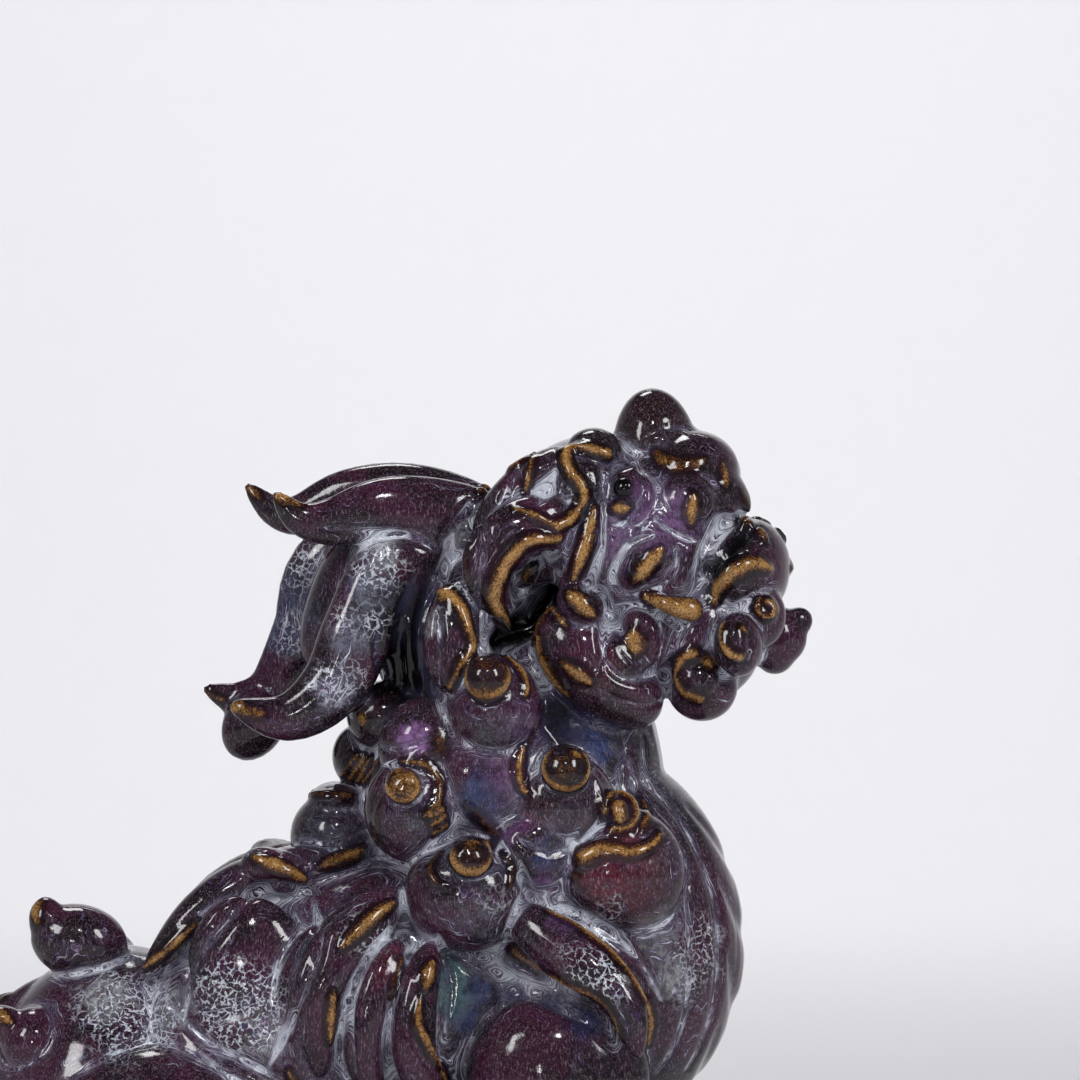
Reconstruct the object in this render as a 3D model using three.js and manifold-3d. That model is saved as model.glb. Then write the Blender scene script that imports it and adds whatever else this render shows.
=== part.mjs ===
// A seated mythical beast in glazed stoneware, about 283 mm tall, modelled by hand and fired in one piece
// with its low base. The beast faces +X and lifts its head, which is turned a little towards -Y.
// Millimetres, +Z up. The origin is the middle of the flat underside of the base.
import * as THREE from "three";
import { mergeVertices } from "three/addons/utils/BufferGeometryUtils.js";
import { SimplifyModifier } from "three/addons/modifiers/SimplifyModifier.js";
import Module from "manifold-3d";

const wasm = await Module();
wasm.setup();

// Driving dimensions of the whole figure.
const BASE = { length: 214, width: 124, height: 15, corner: 26, edge: 2.5 };
const HEAD_PIVOT = 50; // where the head turns on the neck, ahead of the origin
const HEAD_TURN = -20; // degrees, towards the near side, -Y
const SEAT_LEAN = 24; // degrees that the back rises from the rump to the shoulders
const FACES = 8800; // triangles kept on the figure without its base
const PINCH_GAP = 0.05; // drawn inwards where two folds of the skin would share a corner

// How many sides and rings each kind of form is cut into.
const FINE = { sides: 20, rings: 14 };
const PLAIN = { sides: 12, rings: 9 };
const SMALL = { sides: 9, rings: 6 };
const CORD = { sides: 6, rings: 12 };

const radians = THREE.MathUtils.degToRad;

// A three.js geometry reduced to shared positions, so that it is one closed skin.
function skin(geometry) {
  geometry.deleteAttribute("normal");
  geometry.deleteAttribute("uv");
  return mergeVertices(geometry, 1e-4);
}

// An ellipsoid at `at`, with half sizes `size`. `lean` lifts its front end, in degrees.
function lobe(at, size, { lean = 0, swing = 0, cut = PLAIN } = {}) {
  const form = skin(new THREE.SphereGeometry(1, cut.sides, cut.rings));
  form.scale(...size);
  form.rotateY(-radians(lean));
  form.rotateZ(radians(swing));
  return form.translate(...at);
}

// A tapering tongue along `route`, `wide` across and `deep` through, both half sizes. It is a sphere
// drawn out along the route: its first pole is the root and its last one the tip.
function lock(route, wide, deep, { outward = [0, -1, 0], taper = 0.55, cut = PLAIN } = {}) {
  const line = new THREE.CatmullRomCurve3(route.map((stop) => new THREE.Vector3(...stop)));
  const face = new THREE.Vector3(...outward);
  const form = skin(new THREE.SphereGeometry(1, cut.sides, cut.rings));
  const spots = form.getAttribute("position");
  const spot = new THREE.Vector3();
  for (let i = 0; i < spots.count; i++) {
    spot.fromBufferAttribute(spots, i);
    const along = THREE.MathUtils.clamp((1 - spot.y) / 2, 0, 1);
    const ahead = line.getTangent(along);
    const out = face.clone().addScaledVector(ahead, -face.dot(ahead)).normalize();
    const across = new THREE.Vector3().crossVectors(out, ahead);
    const slim = 1 - taper * along;
    const place = line
      .getPoint(along)
      .addScaledVector(across, spot.x * wide * slim)
      .addScaledVector(out, spot.z * deep * slim);
    spots.setXYZ(i, place.x, place.y, place.z);
  }
  return form;
}

// A raised cord wound in a snail's spiral about `at`, on a lump that faces `outward`.
function spiral(at, reach, { outward = [0, -1, 0], turns = 1.3, start = 200, hand = 1, thick = 0.24 } = {}) {
  const out = new THREE.Vector3(...outward).normalize();
  const level = new THREE.Vector3().crossVectors(out, new THREE.Vector3(0, 0, 1)).negate().normalize();
  const up = new THREE.Vector3().crossVectors(level, out).negate();
  const stops = 10;
  const route = [];
  for (let i = 0; i <= stops; i++) {
    const share = i / stops;
    const angle = radians(start + hand * 360 * turns * share);
    const radius = reach * (1 - 0.8 * share);
    const place = new THREE.Vector3(...at)
      .addScaledVector(level, radius * Math.cos(angle))
      .addScaledVector(up, radius * Math.sin(angle))
      .addScaledVector(out, reach * 0.3 * share);
    route.push(place.toArray());
  }
  return lock(route, reach * thick, reach * thick, { outward, taper: 0.1, cut: CORD });
}

// A curl of the mane: a lump with its spiral cord on the outward side.
function curl(at, size, { outward = [0, -1, 0], eye = [0, 0], reach = 4.6, ...wind } = {}) {
  const out = new THREE.Vector3(...outward).normalize();
  const crown = new THREE.Vector3(...at).add(new THREE.Vector3(eye[0], 0, eye[1]));
  const offCentre = (eye[0] / size[0]) ** 2 + (eye[1] / size[2]) ** 2;
  crown.addScaledVector(out, size[1] * Math.sqrt(Math.max(0.1, 0.88 - offCentre)));
  return [lobe(at, size), spiral(crown.toArray(), reach, { outward, ...wind })];
}

// The same form on the other side of the middle plane.
function opposite(form) {
  const twin = form.clone().scale(1, -1, 1);
  const order = twin.index.array;
  for (let i = 0; i < order.length; i += 3) [order[i], order[i + 1]] = [order[i + 1], order[i]];
  return twin;
}

const onBothSides = (forms) => forms.flat().flatMap((form) => [form, opposite(form)]);

// Trunk, neck and the masses that the mane grows on.
function trunk() {
  return [
    lobe([54, 0, 143], [40, 38, 50], { cut: FINE }), // chest
    lock([[44, 0, 244], [41, 0, 205], [46, 0, 170], [48, 0, 140]], 27, 25, { taper: -0.25, cut: PLAIN }),
    lobe([27, 0, 217], [20, 25, 31]), // back of the neck
    lobe([28, 0, 181], [31, 33, 31], { cut: FINE }), // nape
    lobe([-10, 0, 122], [68, 42, 40], { lean: SEAT_LEAN, cut: FINE }), // back
    lobe([-64, 0, 88], [39, 38, 54], { cut: FINE }), // rump
    lobe([0, 0, 78], [46, 30, 40], { cut: PLAIN }), // belly
  ];
}

// Fore and hind limbs, and the paws with their toes.
function paw([x, y, z], [rx, ry, rz], toes = 4) {
  const forms = [lobe([x, y, z], [rx, ry, rz])];
  const gap = (2 * ry) / toes;
  for (let i = 0; i < toes; i++) {
    const across = y - ry + gap * (i + 0.5);
    forms.push(lobe([x + rx * 0.72, across, z - rz * 0.22], [rx * 0.42, gap * 0.56, rz * 0.66], { cut: SMALL }));
  }
  return forms;
}

function limbs() {
  const foreleg = [[44, -34, 118], [56, -33, 92], [63, -31, 60], [66, -31, 22]];
  return onBothSides([
    lobe([47, -35, 112], [23, 14, 21]), // shoulder
    lock(foreleg, 19, 15, { taper: 0.05, cut: PLAIN }),
    paw([74, -31, 25], [19, 15, 12]),
    lobe([-50, -28, 73], [42, 26, 47], { cut: FINE }), // haunch
    lobe([-40, -36, 32], [32, 18, 18]), // heel
    paw([-6, -41, 24], [22, 14, 11]),
  ]);
}

// The turned head, in its own frame: ahead, sideways and up from the pivot.
function headForms() {
  const middle = [
    lobe([8, 0, 246], [26, 29, 26], { cut: FINE }), // skull
    lobe([25, 0, 238], [22, 27, 32], { cut: FINE }), // face
    lobe([36, 0, 222], [15, 20, 18]), // jaw
    lobe([21.5, 0, 267], [9.5, 10.5, 16.5], { lean: 8 }), // horn
    lobe([32.5, 0, 262.5], [11.5, 14, 10.5]), // brow of the nose
    lobe([38.5, 0, 254], [8.5, 13, 8], { lean: -20 }), // nose
    lock([[35, 0, 262], [41, 0, 259], [46, 0, 251.5]], 10, 4, { outward: [1, 0, 0.6], taper: 0.3 }), // its tip
    lobe([47.5, 0, 237], [10, 17, 13.5], { lean: -10 }), // lower lip
  ];
  const paired = [
    lobe([22.5, -24.5, 254], [6, 4.5, 8], { lean: -10, cut: SMALL }), // eyeball
    lobe([23.5, -27.6, 257.3], [2.7, 2.2, 2.6], { cut: SMALL }), // pupil
    lobe([35.5, -12, 254.5], [8.5, 7.5, 9]), // wing of the nose
    lobe([27.7, -23.5, 237.5], [11, 6.5, 5.5], { lean: 42, cut: SMALL }), // cheek
    lobe([26.5, -21.5, 219.5], [8, 7, 10.5], { lean: -12, cut: SMALL }), // jowl
    lobe([14.4, -25.5, 242], [3.6, 5, 11], { lean: 16, cut: SMALL }), // lock before the ear
    lock([[29.5, -27.5, 231], [34, -27, 230], [40.5, -22, 228.5]], 3.4, 4, { taper: -0.6, cut: SMALL }), // fang
    lock([[41, -16, 229], [47, -15.5, 236], [54, -9, 238.5]], 2.6, 3, { cut: SMALL }), // edge of the lip
    curl([50, -17, 219.5], [8, 8, 8.5], { outward: [0.55, -1, 0.1], reach: 4.2, start: 130 }), // beard
  ];
  const single = [
    curl([51.5, -6, 225], [8, 8, 9], { outward: [0.5, -1, 0], reach: 4.2, start: 200, hand: -1 }),
    curl([38.5, -9, 208], [9.5, 9.5, 9], { outward: [0.1, -1, 0], eye: [0, 2], reach: 6, start: 290, hand: -1 }),
    lobe([49.5, 16, 221], [9.5, 9, 9.5]), // far curl of the beard
    lobe([54.5, 18, 225.5], [4, 4, 4], { cut: SMALL }),
  ];
  const turned = new THREE.Matrix4()
    .makeTranslation(HEAD_PIVOT, 0, 0)
    .multiply(new THREE.Matrix4().makeRotationZ(radians(HEAD_TURN)));
  return [...middle, ...onBothSides(paired), ...single.flat()].map((form) => form.applyMatrix4(turned));
}

// The open mouth, cut across under the nose.
function mouth() {
  const gap = lobe([48, 0, 246.5], [10, 24, 3.4], { lean: -40 });
  gap.rotateZ(radians(HEAD_TURN));
  return gap.translate(HEAD_PIVOT, 0, 0);
}

// Ears and the ruffs below them.
function ears() {
  return onBothSides([
    lobe([52, -25, 256], [12, 8, 12], { lean: -18 }),
    lobe([57.5, -19, 266.5], [7.5, 8, 6.5], { cut: SMALL }),
    lock([[52, -29, 250], [38, -31, 248], [31, -32, 238], [32, -32, 226]], 8, 6, { taper: 0.35 }),
    lock([[49, -30, 247], [38, -35, 242], [33, -36, 234], [33.5, -35, 224]], 3, 3.4, { taper: 0.2, cut: SMALL }),
    lobe([55.5, -25, 213.5], [20, 11, 12], { lean: -42 }), // ruff
    lobe([52.5, -31, 229], [6.5, 5.5, 5], { lean: -35, cut: SMALL }),
  ]);
}

// The swept crest behind the head: an upper and a lower flame on each side of one web.
function crest() {
  const upperNear = [[42, -8, 246], [18, -13, 252], [-3, -16, 252.5], [-16, -18, 251], [-25, -19, 258]];
  const upperFar = [[42, 8, 248], [10, 13, 256], [-9, 16, 255.5], [-22, 18, 253], [-33, 19, 259]];
  const lowerNear = [[24, -13, 246], [2, -16, 238], [-7, -18, 222], [-13, -19, 206], [-36, -20, 203.5]];
  const lowerFar = [[20, 12, 246], [-8, 15, 236], [-17, 17, 220], [-26, 18, 207.5], [-43, 19, 206]];
  return [
    lock(upperNear, 10, 8, { taper: 0.6 }),
    lock(upperFar, 10, 8, { taper: 0.6 }),
    lock(lowerNear, 18, 8, { taper: 0.55 }),
    lock(lowerFar, 15, 8, { taper: 0.55 }),
    lock([[22, 0, 252], [2, 0, 240], [-8, 0, 226], [-14, 0, 212]], 13, 15, { taper: 0.45, cut: PLAIN }), // web
    lock([[-24, 18, 210], [-27, 18, 202], [-28, 18, 189.5]], 5.5, 6, { taper: -0.3, cut: SMALL }), // far drop
  ];
}

// The curls of the mane, near and far, and the knots down the nape.
function mane() {
  const sides = onBothSides([
    lock([[28, -24, 234], [22, -31, 222], [24, -35, 206], [30, -34, 196]], 8, 7),
    curl([29, -29, 205], [13, 13, 13.5], { eye: [0, 4], reach: 4.8, turns: 0.9 }),
    curl([11, -32, 178], [12, 11, 13], { eye: [-2, 5.5], reach: 4.6 }),
    curl([47.5, -30, 180], [13, 12, 13], { eye: [1, 7.5], reach: 5.2, start: 20, turns: 1.1 }),
    curl([24, -36, 158], [15, 12, 14.5], { eye: [1, 8.5], reach: 5, start: 20, turns: 1.1 }),
    curl([61, -31, 163], [16.5, 13, 17], { eye: [1, 13], outward: [0.1, -1, 0.25], reach: 5, start: 150 }),
    lobe([3, -11, 199.5], [9.5, 10, 8.5]),
  ]);
  const nape = [
    lobe([-2, 0, 190], [7, 9, 7.5]),
    lobe([-9, 0, 171], [11.5, 14, 11]),
    lock([[-16, -8, 180], [-9, -8, 182], [-2, -8, 180.5]], 3, 4, { taper: 0, cut: SMALL }),
    lock([[-16, 8, 180], [-9, 8, 182], [-2, 8, 180.5]], 3, 4, { taper: 0, cut: SMALL }),
  ];
  return [...sides, ...nape];
}

// Long locks that fall over the shoulders and flanks.
function locks() {
  return onBothSides([
    lock([[31, -35, 157], [44, -41, 145], [57, -43, 133], [67, -42, 118]], 11.5, 8, { taper: 0.35 }),
    lock([[16, -40, 144], [11, -43, 130], [13, -44, 113], [22, -43, 98]], 6, 6, { taper: 0.3 }),
    lock([[8, -35, 156], [-5, -40, 145], [-12, -43, 130], [-12, -42, 112]], 8.5, 7, { taper: 0.3 }),
    lock([[8, -39, 144], [2, -42, 133], [-1, -43, 116], [4, -42, 104]], 6, 6, { taper: 0.3 }),
    lock([[0, -12, 164], [-26, -16, 159], [-42, -20, 151], [-60, -22, 133]], 8, 8, { taper: 0.35 }),
    lobe([-29, -30, 135], [17, 9, 21], { lean: 12 }), // flank
    lobe([-24, -18, 163.5], [8, 5, 4.5], { lean: -25, cut: SMALL }),
  ]);
}

// Shallow tufts down the front of the chest.
function chestTufts() {
  const rows = [[82, 166, 9], [87, 150, 12], [88, 133, 13], [82.5, 116, 12]];
  return rows.map(([x, z, wide]) => lobe([x, 0, z], [6.5, wide, 10.5], { cut: SMALL }));
}

// The tail lies up the rump and ends in flame-shaped tufts.
function tail() {
  const stem = [[-84, 0, 52], [-98, 0, 76], [-95, 0, 106], [-78, 0, 134]];
  return [
    lock(stem, 11, 13, { outward: [-1, 0, 0.4], taper: -0.1 }),
    ...onBothSides([
      lobe([-74, -9, 143.5], [13, 9.5, 10], { lean: -12 }),
      lock([[-77, -10, 144], [-82, -11, 149], [-83.5, -11, 154.5]], 5.5, 5, { cut: SMALL }),
      lobe([-85, -18, 119], [11, 9.5, 10]),
      lock([[-88, -19, 121], [-94, -20, 124], [-99, -21, 126]], 4.5, 4.5, { cut: SMALL }),
      lobe([-93, -13, 92], [10, 9, 10]),
      lock([[-96, -14, 94], [-101, -17, 98], [-104, -19, 104]], 4.5, 4.5, { cut: SMALL }),
    ]),
  ];
}

// The low base, a slab with round corners and a softened edge.
function base() {
  const { length, width, height, corner, edge } = BASE;
  const [halfLength, halfWidth] = [length / 2 - edge, width / 2 - edge];
  const round = corner - edge;
  const outline = new THREE.Shape();
  outline.absarc(halfLength - round, halfWidth - round, round, 0, Math.PI / 2);
  outline.absarc(-halfLength + round, halfWidth - round, round, Math.PI / 2, Math.PI);
  outline.absarc(-halfLength + round, -halfWidth + round, round, Math.PI, 1.5 * Math.PI);
  outline.absarc(halfLength - round, -halfWidth + round, round, 1.5 * Math.PI, 2 * Math.PI);
  const slab = new THREE.ExtrudeGeometry(outline, {
    depth: height - 2 * edge,
    curveSegments: 8,
    bevelSize: edge,
    bevelThickness: edge,
    bevelSegments: 2,
  });
  return skin(slab.translate(0, 0, edge));
}

// Joins and cuts closed skins.
function solidOf(form) {
  const mesh = new wasm.Mesh({
    numProp: 3,
    vertProperties: new Float32Array(form.getAttribute("position").array),
    triVerts: new Uint32Array(form.index.array),
  });
  return new wasm.Manifold(mesh);
}

const join = (forms) => forms.map(solidOf).reduce((all, next) => all.add(next));

function geometryOf(solid) {
  const { vertProperties, triVerts } = solid.getMesh();
  const geometry = new THREE.BufferGeometry();
  geometry.setAttribute("position", new THREE.BufferAttribute(vertProperties, 3));
  return geometry.setIndex(new THREE.BufferAttribute(triVerts, 1));
}

// Corners of separate fans of faces that lie on one spot are drawn apart, each into its own fan.
function unpinched(geometry) {
  geometry.computeVertexNormals();
  const spots = geometry.getAttribute("position");
  const inwards = geometry.getAttribute("normal");
  const spot = new THREE.Vector3();
  const names = Array.from({ length: spots.count }, (_, i) => {
    return spot.fromBufferAttribute(spots, i).multiplyScalar(1000).round().toArray().join();
  });
  const uses = new Map();
  names.forEach((name) => uses.set(name, (uses.get(name) ?? 0) + 1));
  names.forEach((name, i) => {
    if (uses.get(name) === 1) return;
    const pull = new THREE.Vector3().fromBufferAttribute(inwards, i).multiplyScalar(-PINCH_GAP);
    spot.fromBufferAttribute(spots, i).add(pull);
    spots.setXYZ(i, spot.x, spot.y, spot.z);
  });
  return geometry;
}

// A solid with about `faces` triangles, the flattest ones merged first. The merging can pinch off a
// sliver, so only the largest body is kept.
async function faceted(solid, faces) {
  const spare = solid.numVert() * (1 - faces / solid.numTri());
  const coarse = await new SimplifyModifier().modify(geometryOf(solid), Math.round(spare));
  const bodies = solidOf(mergeVertices(coarse.toNonIndexed(), 1e-3)).decompose();
  return bodies.reduce((most, body) => (body.volume() > most.volume() ? body : most));
}

const figure = join([
  ...trunk(),
  ...limbs(),
  ...headForms(),
  ...ears(),
  ...crest(),
  ...mane(),
  ...locks(),
  ...chestTufts(),
  ...tail(),
]).subtract(solidOf(mouth()));

const glaze = new THREE.MeshStandardMaterial({ color: 0x3a2536, roughness: 0.16, metalness: 0 });
const whole = (await faceted(figure, FACES)).add(solidOf(base()));
const beast = new THREE.Mesh(unpinched(geometryOf(whole)), glaze);
beast.name = "glazed_beast";

const statue = new THREE.Group();
statue.add(beast);

export default statue;
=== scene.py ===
"""A seated mythical beast in dark streaked glaze, modelled by hand and fired in one piece with its low base.

Sizes are millimetres in the modelling classes, and metres in the studio. The beast faces +X, and the near
side, which the camera sees, is -Y. Lobes and locks of clay are pressed together into one skin, ridges and
grooves are drawn on that skin, and the skin is then measured for the glaze: where it lies high and thin, and
where it pools.
"""

from __future__ import annotations

import logging
import math
from dataclasses import dataclass, field, replace
from enum import Enum
from typing import Iterable, Sequence

import bmesh
import bpy
import numpy as np
from mathutils import Matrix, Vector
from mathutils.bvhtree import BVHTree

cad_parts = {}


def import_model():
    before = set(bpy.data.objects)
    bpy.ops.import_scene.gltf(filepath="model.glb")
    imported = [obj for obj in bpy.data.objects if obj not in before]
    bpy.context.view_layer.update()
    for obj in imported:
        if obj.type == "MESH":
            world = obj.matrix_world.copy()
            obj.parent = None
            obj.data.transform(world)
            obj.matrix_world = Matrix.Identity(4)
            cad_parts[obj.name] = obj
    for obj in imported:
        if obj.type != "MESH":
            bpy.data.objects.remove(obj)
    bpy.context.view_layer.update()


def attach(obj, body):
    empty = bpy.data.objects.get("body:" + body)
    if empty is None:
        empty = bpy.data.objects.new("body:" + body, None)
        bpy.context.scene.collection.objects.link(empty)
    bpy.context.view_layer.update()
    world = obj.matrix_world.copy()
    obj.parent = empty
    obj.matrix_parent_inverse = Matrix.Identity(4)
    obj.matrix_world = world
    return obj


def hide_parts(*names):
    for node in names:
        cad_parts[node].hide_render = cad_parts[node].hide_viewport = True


LOG = logging.getLogger("glazed_beast")

MM = 0.001
NODE = "glazed_beast"
HEAD_PIVOT = (50.0, 0.0, 0.0)
HEAD_TURN = -20.0
SEAT_LEAN = 24.0

# Steps of a curve between two stops, and the facets of the clay's lobes and locks.
SPAN_STEPS = 16
BIG_LOBE = 24.0
LOBE_SIDES, BIG_LOBE_SIDES = 32, 56
ROUTE_STEPS = 64
LOCK_SIDES, LOCK_ROWS = 24, 40

# Strokes: their points lie a step apart, after a rough count of the length. A crescent has a share of its
# width at its ends, and a tail loses a share on its way.
STROKE_STEP = 0.5
ROUGH_STEPS = 40
TURN_STOPS = 12
CRESCENT_END = 0.4
TAIL_LOSS = 0.62

Point = tuple[float, float, float]
Spot = tuple[float, float]
Colour = tuple[float, float, float]
Socket = bpy.types.NodeSocket


class Side(Enum):
    """The direction that a ridge or groove is drawn from, as the two axes that its stops give."""

    NEAR = "x and z, seen from the camera"
    FRONT = "y and z, seen from +X"
    BACK = "y and z, seen from -X"


def smooth_route(stops: Sequence[Sequence[float]], count: int) -> np.ndarray:
    """Draws a Catmull-Rom curve through stops.

    Args:
        stops: The points that the curve passes, two or more.
        count: How many points to return, evenly spread along its length.

    Returns:
        An array of count points.
    """
    knots = np.asarray(stops, dtype=float)
    padded = np.vstack([2 * knots[0] - knots[1], knots, 2 * knots[-1] - knots[-2]])
    share = np.arange(SPAN_STEPS)[:, None] / SPAN_STEPS
    spans = []
    for a, b, c, d in zip(padded, padded[1:], padded[2:], padded[3:]):
        bend = 2 * a - 5 * b + 4 * c - d
        twist = 3 * b - a - 3 * c + d
        spans.append(0.5 * (2 * b + (c - a) * share + bend * share**2 + twist * share**3))
    dense = np.vstack([*spans, knots[-1:]])
    travelled = np.concatenate([[0.0], np.cumsum(np.linalg.norm(np.diff(dense, axis=0), axis=1))])
    wanted = np.linspace(0.0, travelled[-1], count)
    return np.stack([np.interp(wanted, travelled, dense[:, axis]) for axis in range(dense.shape[1])], axis=1)


def head_frame() -> Matrix:
    """Returns the matrix that takes a place in the head's own frame to the figure's frame."""
    return Matrix.Translation(HEAD_PIVOT) @ Matrix.Rotation(math.radians(HEAD_TURN), 4, "Z")


class Clay:
    """Soft forms pressed together, each a closed skin, before one skin is drawn over them all."""

    def __init__(self, forms: list[bmesh.types.BMesh] | None = None, place: Matrix | None = None) -> None:
        """Starts an empty heap, or goes on with one in another place.

        Args:
            forms: The heap to add to.
            place: The frame that places are given in.
        """
        self.forms = [] if forms is None else forms
        self.place = place or Matrix()

    def placed(self, place: Matrix) -> Clay:
        """Returns the same heap, with places given in another frame."""
        return Clay(self.forms, place)

    def form(self) -> bmesh.types.BMesh:
        """Starts one more form on the heap."""
        self.forms.append(bmesh.new())
        return self.forms[-1]

    def heaped(self, name: str) -> bpy.types.Object:
        """Joins the forms in one object, and frees them.

        Args:
            name: The object's name.

        Returns:
            The object, whose forms still run through each other.
        """
        heap = bmesh.new()
        for form in self.forms:
            bmesh.ops.recalc_face_normals(form, faces=form.faces)
            one = bpy.data.meshes.new("form")
            form.to_mesh(one)
            heap.from_mesh(one)
            form.free()
            bpy.data.meshes.remove(one)
        data = bpy.data.meshes.new(name)
        heap.to_mesh(data)
        heap.free()
        made = bpy.data.objects.new(name, data)
        bpy.context.scene.collection.objects.link(made)
        return made

    def lobe(self, at: Point, size: Point, lean: float = 0.0, swing: float = 0.0, both: bool = False) -> None:
        """Presses on an ellipsoid.

        Args:
            at: Its centre.
            size: Its half sizes.
            lean: How far its front end is lifted, in degrees.
            swing: How far it is turned about the upright, in degrees.
            both: Whether the other side gets its mirror twin.
        """
        turn = Matrix.Rotation(math.radians(swing), 4, "Z") @ Matrix.Rotation(-math.radians(lean), 4, "Y")
        form = self.place @ Matrix.Translation(at) @ turn @ Matrix.Diagonal((*size, 1.0))
        sides = BIG_LOBE_SIDES if max(size) > BIG_LOBE else LOBE_SIDES
        rows = sides * 2 // 3
        bmesh.ops.create_uvsphere(self.form(), u_segments=sides, v_segments=rows, radius=1.0, matrix=form)
        if both:
            self.lobe((at[0], -at[1], at[2]), size, lean, -swing)

    def lock(
        self,
        stops: Sequence[Point],
        wide: float,
        deep: float,
        outward: Point = (0.0, -1.0, 0.0),
        taper: float = 0.5,
        tip: float = 0.0,
        both: bool = False,
    ) -> None:
        """Presses on a tapering tongue: a ball drawn out along a route, from its root to its tip.

        Args:
            stops: The route.
            wide: Its half width across the route.
            deep: Its half depth, along outward.
            outward: The way its broad face looks.
            taper: How much slimmer it is at its tip, as a share.
            tip: How pointed it ends, from 0 for a round end to 1 for a sharp one.
            both: Whether the other side gets its mirror twin.
        """
        line = smooth_route(stops, ROUTE_STEPS + 1)
        ahead = np.gradient(line, axis=0)
        ahead /= np.linalg.norm(ahead, axis=1)[:, None]
        face = np.asarray(outward, dtype=float)
        out = face - (ahead @ face)[:, None] * ahead
        out /= np.linalg.norm(out, axis=1)[:, None]
        across = np.cross(out, ahead)
        guides = (line, across, out)
        ball = {"u_segments": LOCK_SIDES, "v_segments": LOCK_ROWS, "radius": 1.0}
        made = bmesh.ops.create_uvsphere(self.form(), **ball)
        for vert in made["verts"]:
            along = min(max((1.0 - vert.co.z) / 2.0, 0.0), 1.0)
            low = min(int(along * ROUTE_STEPS), ROUTE_STEPS - 1)
            blend = along * ROUTE_STEPS - low
            slim = (1.0 - taper * along) * (1.0 - along) ** (0.5 * tip)
            middle, level, rise = (rows[low] * (1 - blend) + rows[low + 1] * blend for rows in guides)
            place = middle + level * vert.co.x * wide * slim + rise * vert.co.y * deep * slim
            vert.co = self.place @ Vector(place)
        if both:
            mirrored = [(x, -y, z) for x, y, z in stops]
            self.lock(mirrored, wide, deep, (outward[0], -outward[1], outward[2]), taper, tip)


class Form(Enum):
    """How a ridge or groove is shaped along its length, and whether it is round like a bead."""

    CRESCENT = "widest in the middle"
    TAIL = "widest at its start"
    BAND = "as wide all along"
    BEAD = "round in section, with a crease at its foot"


BAND, BEAD, TAIL = Form.BAND, Form.BEAD, Form.TAIL


@dataclass(frozen=True)
class Stroke:
    """A ridge or groove drawn on the skin, as its stops are seen from one side."""

    stops: Sequence[Spot]
    width: float = 1.9
    rise: float = 1.3
    gold: float = 1.0
    form: Form = Form.CRESCENT
    side: Side = Side.NEAR
    twin: bool = True
    head: bool = False
    # How near black it is: black glaze on the pupils, painted shade in the mouth and the gap under the ear.
    ink: float = 0.0

    def path(self) -> np.ndarray:
        """Returns the stroke's line with a point about every half millimetre."""
        rough = smooth_route(self.stops, ROUGH_STEPS)
        length = float(np.linalg.norm(np.diff(rough, axis=0), axis=1).sum())
        return smooth_route(self.stops, max(3, int(length / STROKE_STEP)))

    def swell(self, share: np.ndarray) -> np.ndarray:
        """Returns how wide the stroke is at each share of its length, as a share of its width."""
        if self.form is Form.CRESCENT:
            return CRESCENT_END + (1 - CRESCENT_END) * np.sin(np.pi * np.clip(share, 0.0, 1.0)) ** 0.7
        if self.form is TAIL:
            return 1.0 - TAIL_LOSS * share
        return np.ones_like(share)

    def section(self, away: np.ndarray) -> np.ndarray:
        """Returns the height at each distance from the line, where 1 is the stroke's own half width."""
        if self.form is BEAD:
            return np.sqrt(np.clip(1.0 - away**2, 0.0, None))
        return np.exp(-0.9 * away**2)


def groove(
    stops: Sequence[Spot], width: float, depth: float, form: Form = Form.CRESCENT, **more: object
) -> Stroke:
    """Returns a stroke that sinks and holds no gold."""
    return Stroke(stops, width, -depth, 0.0, form, **more)


@dataclass(frozen=True)
class Pool:
    """A place where the glaze took another colour or crazed into a web, or where its hairs are hushed; where
    the hush passes about 1.1, it also paints shade, darkening a hollow towards near black.

    It is given as the camera sees its middle.
    """

    at: Spot
    reach: float
    share: float = 0.8
    colour: Colour | None = None
    twin: bool = True
    hush_and_shade: float = 0.0


def snail(
    at: Spot,
    reach: float,
    turns: float,
    start: float,
    hand: int = 1,
    squash: float = 1.0,
    inner: float = 0.16,
) -> list[Spot]:
    """Winds a snail's spiral from its rim to its eye.

    Args:
        at: The eye.
        reach: The rim's distance from the eye.
        turns: How many times it winds.
        start: Where the rim starts, in degrees from ahead, rising.
        hand: 1 to wind upwards first, -1 for the other way.
        squash: Its width as a share of its height.
        inner: The last stop's distance from the eye, as a share of reach.

    Returns:
        The stops of the line.
    """
    stops = []
    count = max(TURN_STOPS // 2, int(turns * TURN_STOPS))
    for i in range(count + 1):
        share = i / count
        angle = math.radians(start + hand * 360 * turns * share)
        radius = reach * (1 - (1 - inner) * share)
        stops.append((at[0] + squash * radius * math.cos(angle), at[1] + radius * math.sin(angle)))
    return stops


def ring(at: Spot, wide: float, tall: float, lean: float = 0.0) -> list[Spot]:
    """Draws a closed oval.

    Args:
        at: Its middle.
        wide: Its half width.
        tall: Its half height.
        lean: How far it is turned, in degrees.

    Returns:
        The stops of the line, which ends where it starts.
    """
    stops = []
    level, rise = math.cos(math.radians(lean)), math.sin(math.radians(lean))
    for i in range(TURN_STOPS + 1):
        angle = 2 * math.pi * i / TURN_STOPS
        across, up = wide * math.cos(angle), tall * math.sin(angle)
        stops.append((at[0] + across * level - up * rise, at[1] + across * rise + up * level))
    return stops


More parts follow.
